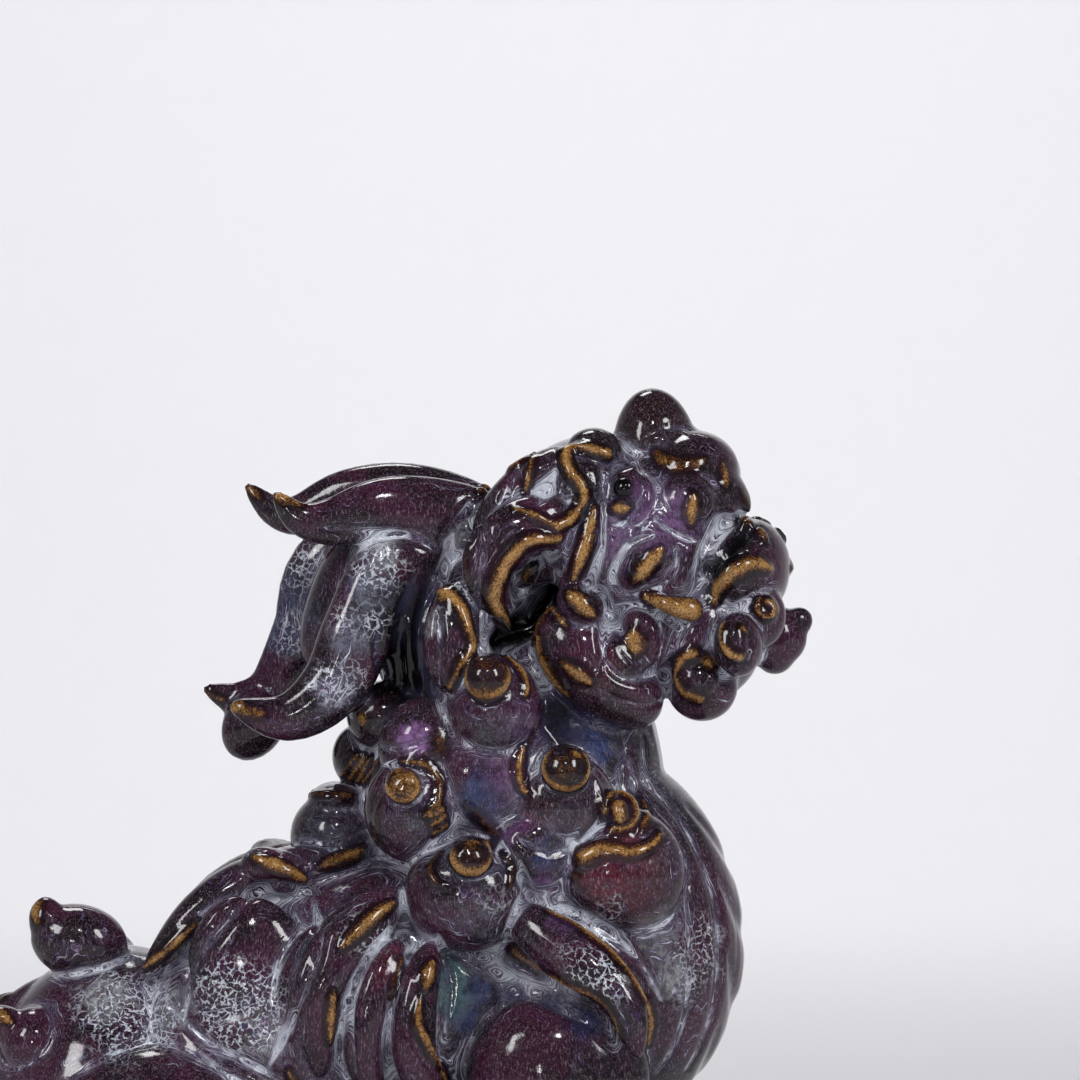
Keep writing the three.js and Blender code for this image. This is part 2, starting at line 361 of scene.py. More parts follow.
@dataclass
class Trunk:
    """Chest, neck, back, rump and belly: the masses that the rest is pressed on."""

    chest: Point = (40, 38, 50)
    back: Point = (68, 42, 40)
    rump: Point = (39, 38, 54)

    def press(self, clay: Clay) -> None:
        """Adds the masses to the clay."""
        clay.lobe((54, 0, 143), self.chest)
        clay.lock([(44, 0, 244), (41, 0, 205), (46, 0, 170), (48, 0, 140)], 27, 25, taper=-0.25)
        clay.lobe((27, 0, 217), (20, 25, 31))
        clay.lobe((28, 0, 181), (31, 33, 31))
        clay.lobe((12, 0, 222), (13, 20, 27), lean=10)
        clay.lobe((-10, 0, 122), self.back, lean=SEAT_LEAN)
        clay.lobe((-64, 0, 88), self.rump)
        clay.lobe((0, 0, 78), (46, 30, 40))
        breast = [(60, 0, 186), (74, 0, 172), (82, 0, 152), (83, 0, 130), (76, 0, 112)]
        clay.lock(breast, 17, 11, (1, 0, 0.3), -0.1)

    def strokes(self) -> list[Stroke]:
        """Returns the shallow folds and furrows down the chest."""
        drawn = []
        for z, wide in ((168, 12), (150, 16), (131, 16), (112, 13)):
            arc = [(-wide, z + 9), (-wide * 0.6, z), (0, z - 5), (wide * 0.6, z), (wide, z + 9)]
            drawn.append(groove(arc, 3.4, 0.8, side=Side.FRONT, twin=False))
        for y in (19, 27):
            furrow = [(-y * 0.7, 196), (-y, 168), (-y * 1.05, 140), (-y * 0.9, 112)]
            drawn.append(groove(furrow, 2.2, 1.2, side=Side.FRONT))
        return drawn


@dataclass
class Limbs:
    """Fore and hind legs with their paws."""

    toes: int = 4
    forepaw: Point = (19, 15, 12)
    hindpaw: Point = (22, 14, 11)

    def paw(self, clay: Clay, at: Point, size: Point) -> None:
        """Adds a paw and its toes on both sides.

        Args:
            clay: The clay to add to.
            at: The paw's centre on the near side.
            size: Its half sizes.
        """
        clay.lobe(at, size, both=True)
        gap = 2 * size[1] / self.toes
        for i in range(self.toes):
            across = at[1] - size[1] + gap * (i + 0.5)
            toe = (at[0] + size[0] * 0.72, across, at[2] - size[2] * 0.22)
            clay.lobe(toe, (size[0] * 0.42, gap * 0.56, size[2] * 0.66), both=True)

    def press(self, clay: Clay) -> None:
        """Adds the limbs to the clay."""
        clay.lobe((47, -35, 112), (23, 14, 21), both=True)
        foreleg = [(44, -34, 118), (56, -33, 92), (63, -31, 60), (66, -31, 22)]
        clay.lock(foreleg, 19, 15, taper=0.05, both=True)
        self.paw(clay, (74, -31, 25), self.forepaw)
        clay.lobe((-50, -28, 73), (42, 26, 47), both=True)
        clay.lobe((-40, -36, 32), (32, 18, 18), both=True)
        self.paw(clay, (-6, -41, 24), self.hindpaw)

    def strokes(self) -> list[Stroke]:
        """Returns the flame ridges on the legs and the curl on the haunch."""
        return [
            Stroke(snail((-52, 80), 26, 1.25, 250, -1, 0.95), 3.4, 2.2, 0.7),
            Stroke([(-20, 112), (-12, 92), (-12, 72), (-18, 54)], 2.6, 1.6, 0.8),
            Stroke([(38, 98), (46, 80), (50, 62), (50, 48)], 2.4, 1.8, 0.8),
            Stroke([(72, 104), (74, 84), (76, 62), (77, 44)], 2.0, 1.2, 0.5),
            Stroke([(-66, 36), (-48, 26), (-28, 27)], 2.2, 1.0, 0.5),
        ]


@dataclass
class Head:
    """The raised head, in its own frame: ahead, sideways and up. It is turned to the near side."""

    skull: Point = (26, 29, 26)
    horn: Point = (10.8, 11, 16.6)

    def press(self, clay: Clay) -> None:
        """Adds the head to the clay."""
        own = clay.placed(clay.place @ head_frame())
        own.lobe((8, 0, 246), self.skull)
        own.lobe((25, 0, 238), (22, 24, 32))
        own.lobe((36, 0, 222), (15, 20, 18))
        own.lobe((23.2, 0, 267), self.horn, lean=6)
        own.lobe((29, 0, 265.5), (8.5, 10.5, 9.5))
        self.nose(own)
        self.cheeks(own)
        self.beard(own)

    def nose(self, own: Clay) -> None:
        """Adds the brow, the nose with its wings and pointed tip, and the lower lip."""
        own.lobe((33.2, 0, 262.3), (11.5, 14, 10.5))
        own.lobe((38.5, 0, 254), (8.5, 13, 8), lean=-20)
        own.lock([(36, 0, 262), (42.5, 0, 259), (48.4, 0, 251.8)], 10, 4.4, (1, 0, 0.6), 0.45, 0.3)
        own.lobe((34.8, -12, 254), (8, 7.5, 8.5), both=True)
        own.lobe((47.5, 0, 237), (10, 17, 13.5), lean=-10)

    def cheeks(self, own: Clay) -> None:
        """Adds the eyes, cheeks, jowls and fangs."""
        own.lobe((22.3, -19.5, 254), (7.5, 5, 9), both=True)
        own.lobe((24.2, -23.6, 257.4), (2.9, 2.6, 2.9), both=True)
        own.lobe((28, -19.5, 239.5), (10, 6.5, 5.6), lean=48, both=True)
        own.lobe((26.5, -18.5, 220.5), (8, 7, 10.5), lean=-12, both=True)
        fang = [(42, -20, 227.2), (36, -24.5, 229), (29.6, -25.5, 231.2)]
        own.lock(fang, 3.6, 4, taper=0.5, tip=0.7, both=True)

    def beard(self, own: Clay) -> None:
        """Adds the curls under the lip."""
        own.lobe((50, -15, 219), (6, 8, 8.2), both=True)
        own.lobe((51.5, -5, 226), (7.5, 8, 8.5))
        own.lobe((38.5, -9, 208.5), (9, 9.5, 9))
        own.lobe((50, 16, 220.5), (8, 8, 7.8))
        own.lobe((55.5, 18, 224.5), (3.6, 3.6, 3.6))

    def strokes(self) -> list[Stroke]:
        """Returns the ridges, grooves, spirals and the mouth, as they are seen from the camera."""
        drawn = [
            Stroke([(71.5, 266.8), (74.5, 264), (79, 263.4), (83.5, 265)], 2.9, 0.4, 0.6),
            Stroke([(88.2, 264), (89, 258.2)], 1.9, 0.4, 0.85),
            Stroke([(80.8, 256.2), (80.2, 249.2)], 2.0, 0.5),
            Stroke([(63.2, 258), (63.5, 258)], 2.4, 2.2, 0.0, BEAD, ink=1),
            Stroke([(61, 252.8), (64.5, 253.2)], 2.3, 0.6),
            groove(
                [(58.5, 262), (58.5, 255), (60.5, 249), (64.2, 250.2), (67.8, 255), (68.5, 260), (66, 264.2)],
                1.1, 0.9, BAND,
            ),
            Stroke([(58.8, 262), (62.2, 264.2), (66.5, 262)], 1.1, 0.8, 0.0),
            Stroke([(72.8, 242.8), (69.5, 238.5), (66, 234.5)], 2.2, 0.7),
            groove(ring((68.8, 238.5), 9, 6.4, 37), 1.3, 0.7, BAND),
            groove(ring((66, 219.5), 7.8, 9.4), 1.5, 1.3, BAND),
            Stroke([(66, 222.2), (66.2, 216.8)], 3.3, 0.6, 0.85),
            Stroke([(80.5, 227.5), (77, 228), (73, 229.2), (69.2, 230.8)], 3.1, 2.3, 1.0, TAIL),
            groove([(71.2, 226.8), (76.5, 224), (81.5, 224)], 1.3, 1.2),
            Stroke([(86, 229.5), (87.8, 234.5), (91.8, 237.8), (96, 239), (100.2, 237.8)], 2.5, 1.6),
            # The mouth's slit, painted near black as shade.
            groove([(86.5, 238), (88.5, 241), (91, 244), (93, 246.5)], 3.6, 2.5, BAND, ink=1),
            Stroke([(93.8, 249.8), (94.2, 249)], 2, 1.2, 0.8, BEAD),
            Stroke([(97.5, 246.8), (98.2, 245.8)], 1.8, 1, 0.7, BEAD),
            groove(
                [(89, 249.8), (84.5, 243.8), (82.8, 238.2), (82, 232.5), (80.2, 227), (75.5, 217.5),
                 (73.8, 211)],
                2.5, 1.5, BAND,
            ),
            groove([(69, 271), (74.5, 273.2), (80.5, 272.5)], 1.1, 0.6),
            Stroke([(92.8, 257.2), (95, 253)], 1.3, 0.2, 0.6),
            groove([(91.2, 228.8), (94.5, 230), (96.5, 232.5)], 1.2, 0.8),
            Stroke([(99, 228), (99, 227.5)], 3.7, 1.5, 0.0, BEAD, twin=False),
            Stroke([(90.8, 222), (91, 218)], 3.4, 1.3, 0.0, BEAD),
            Stroke([(88.5, 223.8), (88, 220.5), (90, 217), (92.5, 215.8)], 1.15, 0.8, 1.0, BAND),
            Stroke([(93.2, 222.5), (93.5, 222)], 1.1, 0.7, 1.0, BEAD),
            Stroke([(81.8, 211.5), (82, 211.2)], 5.4, 1.8, 0.0, BEAD, twin=False),
            Stroke(
                [(81, 217.2), (77.8, 215), (76.8, 210.8), (78.5, 207.2), (82.5, 205.5)],
                1.35, 0.9, 1.0, BAND, twin=False,
            ),
            Stroke([(84.2, 214.5), (84.5, 214)], 2, 0.8, 1.0, BEAD, twin=False),
            groove([(74.5, 230), (73, 223.8), (72.5, 217.5)], 1, 0.7),
            groove([(57.5, 207.5), (63, 204.5), (70, 203.5), (74.5, 206.2)], 1.3, 0.9),
            groove([(71.2, 250), (75, 247.5), (80, 245), (83.8, 244.8)], 1.2, 0.9),
            Stroke(snail((98.9, 227.8), 2.6, 0.9, 140, 1, 0.9, 0.45), 0.85, 0.8, 1.0, BAND, twin=False),
        ]
        return [replace(stroke, head=True) for stroke in drawn]


@dataclass
class Ears:
    """Rolled ears, the leaves below them, the side locks and the ruffs."""

    leaf_width: float = 9.5

    def press(self, clay: Clay) -> None:
        """Adds the ears and ruffs to the clay."""
        clay.lobe((51, -22, 257), (12, 9, 11), lean=-18, both=True)
        clay.lobe((56, -18.5, 266.5), (7.5, 8, 6.8), both=True)
        fold = [(56, -22, 266), (44, -22, 262), (34, -22, 254.5), (26, -21, 246)]
        clay.lock(fold, 6.5, 8, taper=0.2, both=True)
        leaf = [(54, -27, 250), (40, -31, 248), (30, -32, 240), (31, -32, 226)]
        clay.lock(leaf, self.leaf_width, 6.5, taper=0.3, both=True)
        side = [(57, -24, 255), (54.5, -27, 246), (51, -29, 237), (49, -29, 230)]
        clay.lock(side, 4.6, 4.6, taper=0.0, both=True)
        clay.lobe((57, -24, 213.5), (20, 12, 12), lean=-44, both=True)
        clay.lobe((52.5, -31, 229), (6.5, 5.5, 5), lean=-35, both=True)

    def strokes(self) -> list[Stroke]:
        """Returns the golden ridges of the ears and ruffs."""
        return [
            Stroke(
                [(59.2, 266.5), (55, 267.8), (50.5, 267.8), (48.8, 266), (50.2, 262), (53.2, 257.8),
                 (52.8, 253.8), (50, 250.2), (46.5, 248.5)],
                1.5, 1.8, 1.0, BAND,
            ),
            Stroke([(46.5, 248.5), (41.2, 251), (36, 252.8)], 1.2, 1.1, 0.9),
            Stroke([(41.2, 267.2), (40, 262.5), (38.8, 257)], 1.2, 1, 0.85),
            Stroke([(40, 266), (33.8, 262), (27.2, 257)], 1.3, 1, 0.85),
            groove([(46.5, 263), (44.5, 258), (42.2, 254.2)], 2.2, 1.3),
            groove([(37.5, 263.8), (35, 259.5), (32.5, 255)], 1.6, 0.9),
            Stroke([(47.2, 245.5), (39, 244.5), (33.2, 238.2), (31, 230.5), (34.8, 222.8)], 2.3, 2.2),
            Stroke([(40, 237.8), (38, 234.2)], 1.5, 0.8, 0.9),
            groove([(46.5, 241.8), (41.5, 239.8), (37.5, 233.8), (37, 227.5)], 2.6, 2.4),
            Stroke([(25.2, 244.2), (24, 239), (25, 232.5)], 1.1, 0.7, 0.45),
            groove([(27.5, 250), (28.5, 243.8), (27.5, 236.2), (29, 227.5)], 1.7, 1),
            Stroke([(56, 253), (54.2, 245), (50.8, 235)], 1.8, 1.3),
            groove([(53.2, 253.8), (50.2, 245), (47, 236.2)], 1.3, 1.3, BAND),
            groove([(58.5, 253.8), (58.2, 242.5), (54.5, 233)], 1.4, 1.5, BAND),
            Stroke([(49.5, 231.8), (56, 226.2)], 2.4, 0.8),
            groove([(57.5, 232.5), (60.5, 227), (59.5, 220), (57, 213)], 1.2, 1.1, BAND),
            Stroke([(45.5, 228), (47, 226.2), (49, 223.5)], 1.4, 0.8, 0.9),
            Stroke([(46, 229), (42.8, 224.5), (40.5, 219.5)], 1.3, 0.8, 0.6),
            Stroke([(42.2, 220.5), (43, 216), (45.5, 211), (49.5, 206.5)], 2.7, 1.1, 0.9),
            Stroke([(48.2, 214.2), (55, 209.5)], 2.1, 0.8),
            # The deep gap between the ear's leaf and the ruff, painted near black as shade.
            groove([(44.8, 230.2), (39.2, 225.2), (33, 219.8)], 3.2, 6.5, BAND, ink=1),
            groove([(53, 202), (60.5, 198), (70, 197.5)], 1.8, 1),
            groove([(25, 255), (20, 245), (18.5, 235)], 2.2, 1.2),
        ]


@dataclass
class Crest:
    """The crest swept back from the nape: an upper and a lower flame on each side of one web."""

    deep: float = 8.0

    def press(self, clay: Clay) -> None:
        """Adds the crest to the clay."""
        upper_near = [
            (42, -8, 244), (22, -12, 250), (4, -15, 252.5), (-10, -17, 249.5), (-18, -18, 250.5),
            (-24.5, -19, 257),
        ]
        upper_far = [
            (40, 8, 247), (12, 12, 255.5), (-6, 15, 256), (-19, 17, 251.5), (-26, 18, 252.5),
            (-33.5, 19, 259.5),
        ]
        lower_near = [
            (24, -12, 246), (6, -15, 239), (-2.5, -18, 223), (-9.5, -19, 208.5), (-21, -20, 200.5),
            (-35.5, -20, 203.5),
        ]
        lower_far = [
            (20, 12, 246), (-9, 15, 239), (-17, 17, 221), (-26, 18, 207), (-35, 19, 204), (-44.5, 19, 207),
        ]
        clay.lock(upper_near, 12.5, self.deep, taper=0.56)
        clay.lock(upper_far, 11.5, self.deep, taper=0.54)
        clay.lock(lower_near, 11.5, self.deep, taper=0.36)
        leaf = [(22, -8, 246), (5, -12, 240), (1, -14, 224), (-4, -15, 210), (-9, -15, 200)]
        clay.lock(leaf, 10.5, 5.5, taper=0.6, tip=0.3)
        clay.lock(lower_far, 14.5, self.deep, taper=0.55)
        clay.lock([(20, 0, 250), (0, 0, 240), (-10, 0, 226), (-16, 0, 212)], 12, 15, taper=0.35)
        clay.lobe((-31, 18, 198), (8, 7, 10.5), lean=-30)

    def strokes(self) -> list[Stroke]:
        """Returns the furrows between the flames and their golden tips."""
        return [
            Stroke([(-23, 257), (-17.5, 253.8)], 3.4, 0.1, 0.8, TAIL, twin=False),
            Stroke([(-31.2, 258.2), (-27.5, 255.8)], 2.8, 0.1, 0.6, TAIL, twin=False),
            Stroke([(-34.5, 203.2), (-27, 201.5)], 3.4, 0.1, 0.8, TAIL, twin=False),
            Stroke([(-41.8, 206.5), (-37, 205.2)], 2.6, 0.1, 0.6, TAIL, twin=False),
            groove([(-13.5, 248), (-2.5, 247.2), (10, 246), (19, 241)], 2, 1, twin=False),
            groove([(3.5, 243), (1.2, 230), (-3, 215), (-9.2, 203.5)], 3.4, 1, twin=False),
            groove([(22, 250), (19, 240), (18, 232)], 1.8, 1.4),
            *(groove([(x + 4, 236), (x, 222), (x + 1, 207)], 1.7, 1.5) for x in (2, 7, 12)),
        ]


@dataclass
class Curl:
    """A snail curl of the mane: a lump, and the cone that rises to its eye."""

    at: Point
    size: Point
    eye: Spot
    reach: float = 4.6
    out: float = 6.0
    both: bool = True
    squash: float = 1.0

    def press(self, clay: Clay) -> None:
        """Adds the lump, and the cone that rises to the eye."""
        clay.lobe(self.at, self.size, both=self.both)
        crown = (self.at[0] + self.eye[0], self.at[1] - self.out, self.at[2] + self.eye[1])
        spread = self.reach * 1.25
        clay.lobe(crown, (spread * self.squash, self.size[1] * 0.7, spread), both=self.both)


@dataclass
class Mane:
    """Snail curls down the neck and shoulders, and knots down the nape."""

    curls: list[Curl] = field(
        default_factory=lambda: [
            Curl((30.5, -29, 203), (12.5, 13.5, 14), (-1, 7.5), 5.0),
            Curl((11, -30, 178), (12.5, 12, 13.5), (-2.2, 5.5), 4.4),
            Curl((47.5, -29, 179), (14, 12.5, 13.5), (1.3, 8.8), 5.4),
            Curl((24, -34, 157), (15.5, 13, 14.5), (1, 9), 4.8),
            Curl((62, -29, 162), (17, 14, 17), (0.5, 15), 4.4, 2.0, squash=0.85),
        ]
    )

    def press(self, clay: Clay) -> None:
        """Adds the curls, the flat lumps between them and the knots to the clay."""
        for curl in self.curls:
            curl.press(clay)
        lead = [(26, -24, 236), (21, -29, 226), (21, -32, 214), (26, -33, 206)]
        clay.lock(lead, 6.5, 6.5, taper=-0.2, both=True)
        clay.lobe((28, -26.5, 186.5), (21, 12.5, 18), lean=-20, both=True)
        clay.lobe((14, -27, 193), (12, 11, 13), both=True)
        clay.lobe((41, -31, 168), (12, 11, 11), both=True)
        clay.lobe((3, -10, 200.5), (9.5, 10, 8.8), both=True)
        clay.lobe((-3, 0, 190), (7.5, 10, 8.5))
        clay.lobe((-9, -3, 170), (12, 14, 11.5), both=True)
        clay.lobe((-9, -6, 179), (7.5, 9, 4.5), both=True)

    def strokes(self) -> list[Stroke]:
        """Returns the spirals and the ridges between the curls."""
        return [
            Stroke(
                [(18.2, 231.8), (21.8, 229), (24.5, 222.8), (25.5, 218.2), (22.8, 214), (20, 208.2)],
                2.3, 1.5, 1.0, TAIL,
            ),
            groove([(16.8, 227), (16.8, 217.5), (16.5, 207.5)], 2, 1.4),
            Stroke([(34, 215.8), (37.8, 212), (39, 207.8), (38.2, 206)], 1.3, 1.1, 0.95),
            Stroke([(42.8, 204.5), (40.8, 197), (38.8, 193)], 0.95, 0.8, 0.5),
            Stroke([(29.2, 211), (29.5, 211)], 5.7, 3, 0.4, BEAD),
            Stroke([(25.3, 213), (25.8, 208.6), (29.2, 207), (32.8, 208.6), (33.5, 212.5)], 2.7, 0.4),
            Stroke([(8.5, 184), (8.8, 184)], 4.5, 1.7, 0.75, BEAD),
            Stroke(
                [(8, 187.4), (5.2, 185.5), (5.6, 181.8), (8.8, 180.6), (11, 182.8), (9.5, 185)],
                1.4, 0.8, 1.0, BAND,
            ),
            Stroke([(8, 189.5), (13.5, 189), (17, 184.8), (16.8, 179.5), (13.5, 176)], 1.3, 1.2, 0.8),
            Stroke([(3.5, 181), (1.8, 176), (2, 169.5)], 0.9, 0.8, 0.4),
            Stroke([(25.2, 166.2), (25.5, 166.2)], 5.1, 1.8, 0.4, BEAD),
            Stroke(
                [(29, 169.5), (29.5, 165.8), (26.8, 162.8), (22.8, 163.2), (21, 165.8)],
                2.0, 0.7, 1.0, BAND,
            ),
            Stroke([(27, 168), (25, 168.5), (24, 166.8)], 0.9, 0.5, 0.7),
            Stroke([(17.5, 166.8), (15.2, 163), (16.2, 159.8), (19, 158.2)], 1.1, 1.1, 0.65),
            Stroke([(33.2, 166.8), (35.2, 163), (34.8, 158)], 1.1, 1.1, 0.55),
            Stroke([(49, 188.2), (49.2, 188.2)], 6, 2, 0.4, BEAD),
            Stroke(
                [(45.2, 191.2), (44.2, 188), (45.8, 185), (49.2, 183.5), (52.8, 185), (54, 188.2),
                 (53, 190.8)],
                1.9, 0.8, 1.0, BAND,
            ),
            Stroke([(50.8, 190.8), (51, 190.5)], 1.4, 0.5, 0.9, BEAD),
            Stroke([(38.2, 193), (37, 188), (37.8, 184), (39.5, 181.5)], 1.5, 1.2),
            Stroke([(55, 187), (57.5, 182.5), (56.8, 177.2), (52, 170.5)], 1, 0.9, 0.3),
            Stroke(
                [(59, 177), (58.5, 179.2), (60.8, 181.2), (63.5, 181.2), (65.8, 179.2), (66.2, 176),
                 (64.2, 173.2), (61, 172.5)],
                1.5, 1.3, 1.0, BAND,
            ),
            Stroke([(62, 178.5), (62.5, 175.8)], 2, 1.2, 0.9, BEAD),
            Stroke([(67.8, 180), (69.2, 176.2), (67.8, 172.5)], 1.2, 0.8, 0.85),
            Stroke(
                [(53.5, 165.8), (58.5, 167.5), (65, 166.8), (70, 168.5), (72.5, 171.5)],
                2.6, 1.2, 1.0, TAIL,
            ),
            Stroke([(50.2, 160.8), (52.5, 161)], 1.3, 0.1, 0.5),
            Stroke([(24, 178.8), (28, 175), (32.5, 171)], 1.9, 0.9, 0.5),
            Stroke([(17.2, 195), (17.8, 192.5)], 2.8, 0.1, 0.45, BAND),
            Stroke([(-2.2, 200.8), (-2, 200.2)], 2.2, 0.3, 0.8, BEAD),
            Stroke([(-16, 181.5), (-10, 181.2), (-4.5, 180.8)], 1.8, 1, 0.55),
            Stroke([(-12.2, 163.5), (-6.2, 165.5), (-1.8, 167.8)], 2, 1.3, 0.9),
            Stroke([(-29, 165.8), (-23, 163.5), (-16.2, 160.2)], 2.1, 1),
            groove([(37.5, 170), (44.5, 167), (49, 167.5)], 1.8, 1.3),
            groove([(37.5, 164.5), (39, 157.5), (35, 148.8)], 1.7, 1.3),
            groove([(60, 193.8), (65, 188.8), (66, 182.5)], 1.6, 1),
            groove([(2.5, 193), (7.5, 193), (15, 195)], 1.5, 1),
            groove([(-20, 171), (-10, 169.5), (-0.5, 172.5)], 1, 0.6),
            *self.ribs((-7, 186), (-3.5, 191), (1.9, -0.5), 4, 0.85),
            *self.ribs((15, 176), (17.8, 177.8), (0.5, -2), 3, 0.95),
        ]

    def ribs(self, start: Spot, end: Spot, shift: Spot, count: int, width: float) -> list[Stroke]:
        """Returns a row of short golden ribs.

        Args:
            start: Where the first one starts.
            end: Where it ends.
            shift: How far each lies from the one before.
            count: How many there are.
            width: Their half width.
        """
        row = []
        for i in range(count):
            stops = [(x + shift[0] * i, z + shift[1] * i) for x, z in (start, end)]
            row.append(Stroke(stops, width, 0.9, 0.9, BAND))
        return row


@dataclass
class Locks:
    """Long locks that fall over the shoulders, and the ridges of back and flank."""

    def press(self, clay: Clay) -> None:
        """Adds the locks to the clay."""
        shoulder = [(34, -36, 154), (46, -41, 145.5), (56, -46, 138.5), (63.5, -49, 130), (66.8, -50, 117.5)]
        clay.lock(shoulder, 8.8, 8, taper=0.4, both=True)
        elbow = [(17, -38, 146), (12, -42, 133), (12, -44, 116), (20, -43, 98)]
        clay.lock(elbow, 6.5, 7, taper=0.25, both=True)
        side = [(8, -34, 158), (-4, -39, 147), (-12, -42, 132), (-12, -41, 112)]
        clay.lock(side, 9, 7.5, taper=0.3, both=True)
        between = [(8, -38, 146), (2, -41, 135), (-1, -42, 118), (3, -41, 104)]
        clay.lock(between, 6.5, 7, taper=0.25, both=True)
        back = [(0, -12, 164), (-26, -15, 160), (-42, -20, 152), (-57, -23, 136)]
        clay.lock(back, 8, 9, taper=0.35, both=True)
        clay.lobe((-29, -30, 136), (16, 8, 21), lean=14, both=True)
        clay.lobe((-24, -20, 162), (9, 7, 5.5), lean=-22, both=True)
        flank = [(-6, -30, 152), (-17, -36, 140), (-18, -39, 122), (-14, -39, 104)]
        clay.lock(flank, 5, 5.5, taper=0.3, both=True)

    def strokes(self) -> list[Stroke]:
        """Returns the golden ridges of the locks, and the moats round the flank and the shoulder."""
        return [
            Stroke([(44.5, 152.2), (52.5, 148), (61, 141.2), (67, 133), (70, 125.5), (69.5, 119)], 1.5, 0.9),
            Stroke(
                [(36, 142.2), (42.5, 138), (49.5, 134), (57.5, 130), (61.2, 125), (63, 120)],
                1.7, 0.8, 0.75, TAIL,
            ),
            Stroke([(12.5, 131), (12, 124.2), (14.8, 118), (18.8, 110)], 1.4, 1.3, 0.9),
            Stroke([(15.5, 139.8), (13.5, 132.5)], 2.1, 1.3, 0.85),
            Stroke([(7.8, 140.5), (5, 131)], 1.4, 0.8, 0.65),
            Stroke([(5.8, 154.2), (-0.2, 149.8), (-6.8, 143.2)], 2.1, 1.3, 0.9),
            Stroke([(-9.2, 132), (-9.8, 126), (-10.2, 119.5)], 1.6, 1),
            Stroke([(-43, 149.5), (-49.2, 144), (-56.5, 138)], 1.5, 1.1, 0.9),
            groove([(-13, 157), (-27, 158), (-38, 148), (-45, 137), (-47, 125)], 2.2, 1.6),
            groove([(-14, 155), (-13, 143), (-20, 125), (-26, 112)], 1.8, 1.6),
            groove([(-3, 156), (-12, 148), (-16, 136), (-17, 120)], 1.6, 1.2),
            groove([(20, 142), (27, 139), (38, 134), (55, 124)], 2.4, 1.8),
            groove([(5, 148), (-1, 140), (-5, 128), (-4, 112)], 1.5, 1.3),
            groove([(17, 146), (20, 134), (19, 122)], 1.6, 1.3),
            groove([(-50, 128), (-40, 119), (-28, 113), (-16, 106)], 2, 1.4),
            groove([(47.5, 153.8), (57.5, 148.8), (67.5, 140), (73, 130)], 1.6, 1.3),
        ]


@dataclass
class Tail:
    """The tail up the rump, with flame-shaped tufts."""

    def press(self, clay: Clay) -> None:
        """Adds the tail to the clay."""
        clay.lock([(-84, 0, 52), (-98, 0, 76), (-95, 0, 106), (-78, 0, 134)], 11, 13, (-1, 0, 0.4), -0.1)
        clay.lobe((-74, -9, 143.5), (12.5, 9.5, 9.5), lean=-12)
        clay.lock([(-76, -10, 143), (-81, -11, 148), (-83, -11, 155)], 6.5, 6, taper=0.3)
        clay.lobe((-72, 10, 138), (12, 9.5, 9), lean=-12)
        clay.lock([(-74, 11, 137), (-79, 12, 141), (-80, 12, 146)], 6, 6, taper=0.3)
        clay.lobe((-84, -18, 119), (9.5, 9.5, 9), both=True)
        clay.lock([(-86, -19, 121), (-93, -20, 124), (-99, -21, 126)], 5.5, 5.5, taper=0.3, both=True)
        clay.lobe((-93, -13, 92), (10, 9, 10), both=True)
        clay.lock([(-96, -14, 94), (-101, -17, 98), (-104, -19, 104)], 4.5, 4.5, both=True)

    def strokes(self) -> list[Stroke]:
        """Returns the tufts' golden tips and the furrows of the tail."""
        return [
            Stroke([(-84, 153), (-83.2, 149.5)], 3.2, 0.2, 0.85, TAIL),
            Stroke([(-92, 126.5), (-90, 124.5)], 2.6, 0.2, 0.8, TAIL),
            groove([(-9, 60), (-10, 82), (-9, 106), (-6, 126)], 2.0, 1.4, side=Side.BACK),
            Stroke([(0, 56), (0, 80), (0, 108), (0, 128)], 2.2, 1.2, 0.7, BAND, Side.BACK, False),
        ]


@dataclass
class Base:
    """The low slab under the figure, with round corners and a softened edge."""

    length: float = 214.0
    width: float = 124.0
    height: float = 15.0
    corner: float = 26.0
    edge: float = 2.5

    def press(self, clay: Clay) -> None:
        """Adds the slab to the clay."""
        slab = clay.form()
        size = Matrix.Diagonal((self.length, self.width, self.height, 1.0))
        middle = Matrix.Translation((0.0, 0.0, self.height / 2))
        bmesh.ops.create_cube(slab, size=1.0, matrix=middle @ size)
        upright = [edge for edge in slab.edges if abs(edge.verts[0].co.z - edge.verts[1].co.z) > 1.0]
        self.soften(slab, upright, self.corner, 12)
        rim = [edge for edge in slab.edges if edge.calc_face_angle() > 1.0]
        self.soften(slab, rim, self.edge, 3)

    def soften(
        self, slab: bmesh.types.BMesh, edges: list[bmesh.types.BMEdge], reach: float, steps: int
    ) -> None:
        """Rounds some edges of the slab.

        Args:
            slab: The slab.
            edges: The edges to round.
            reach: The rounding's radius.
            steps: How many facets it has.
        """
        bmesh.ops.bevel(
            slab,
            geom=edges,
            offset=reach,
            offset_type="OFFSET",
            affect="EDGES",
            segments=steps,
            profile=0.5,
            material=-1,
        )


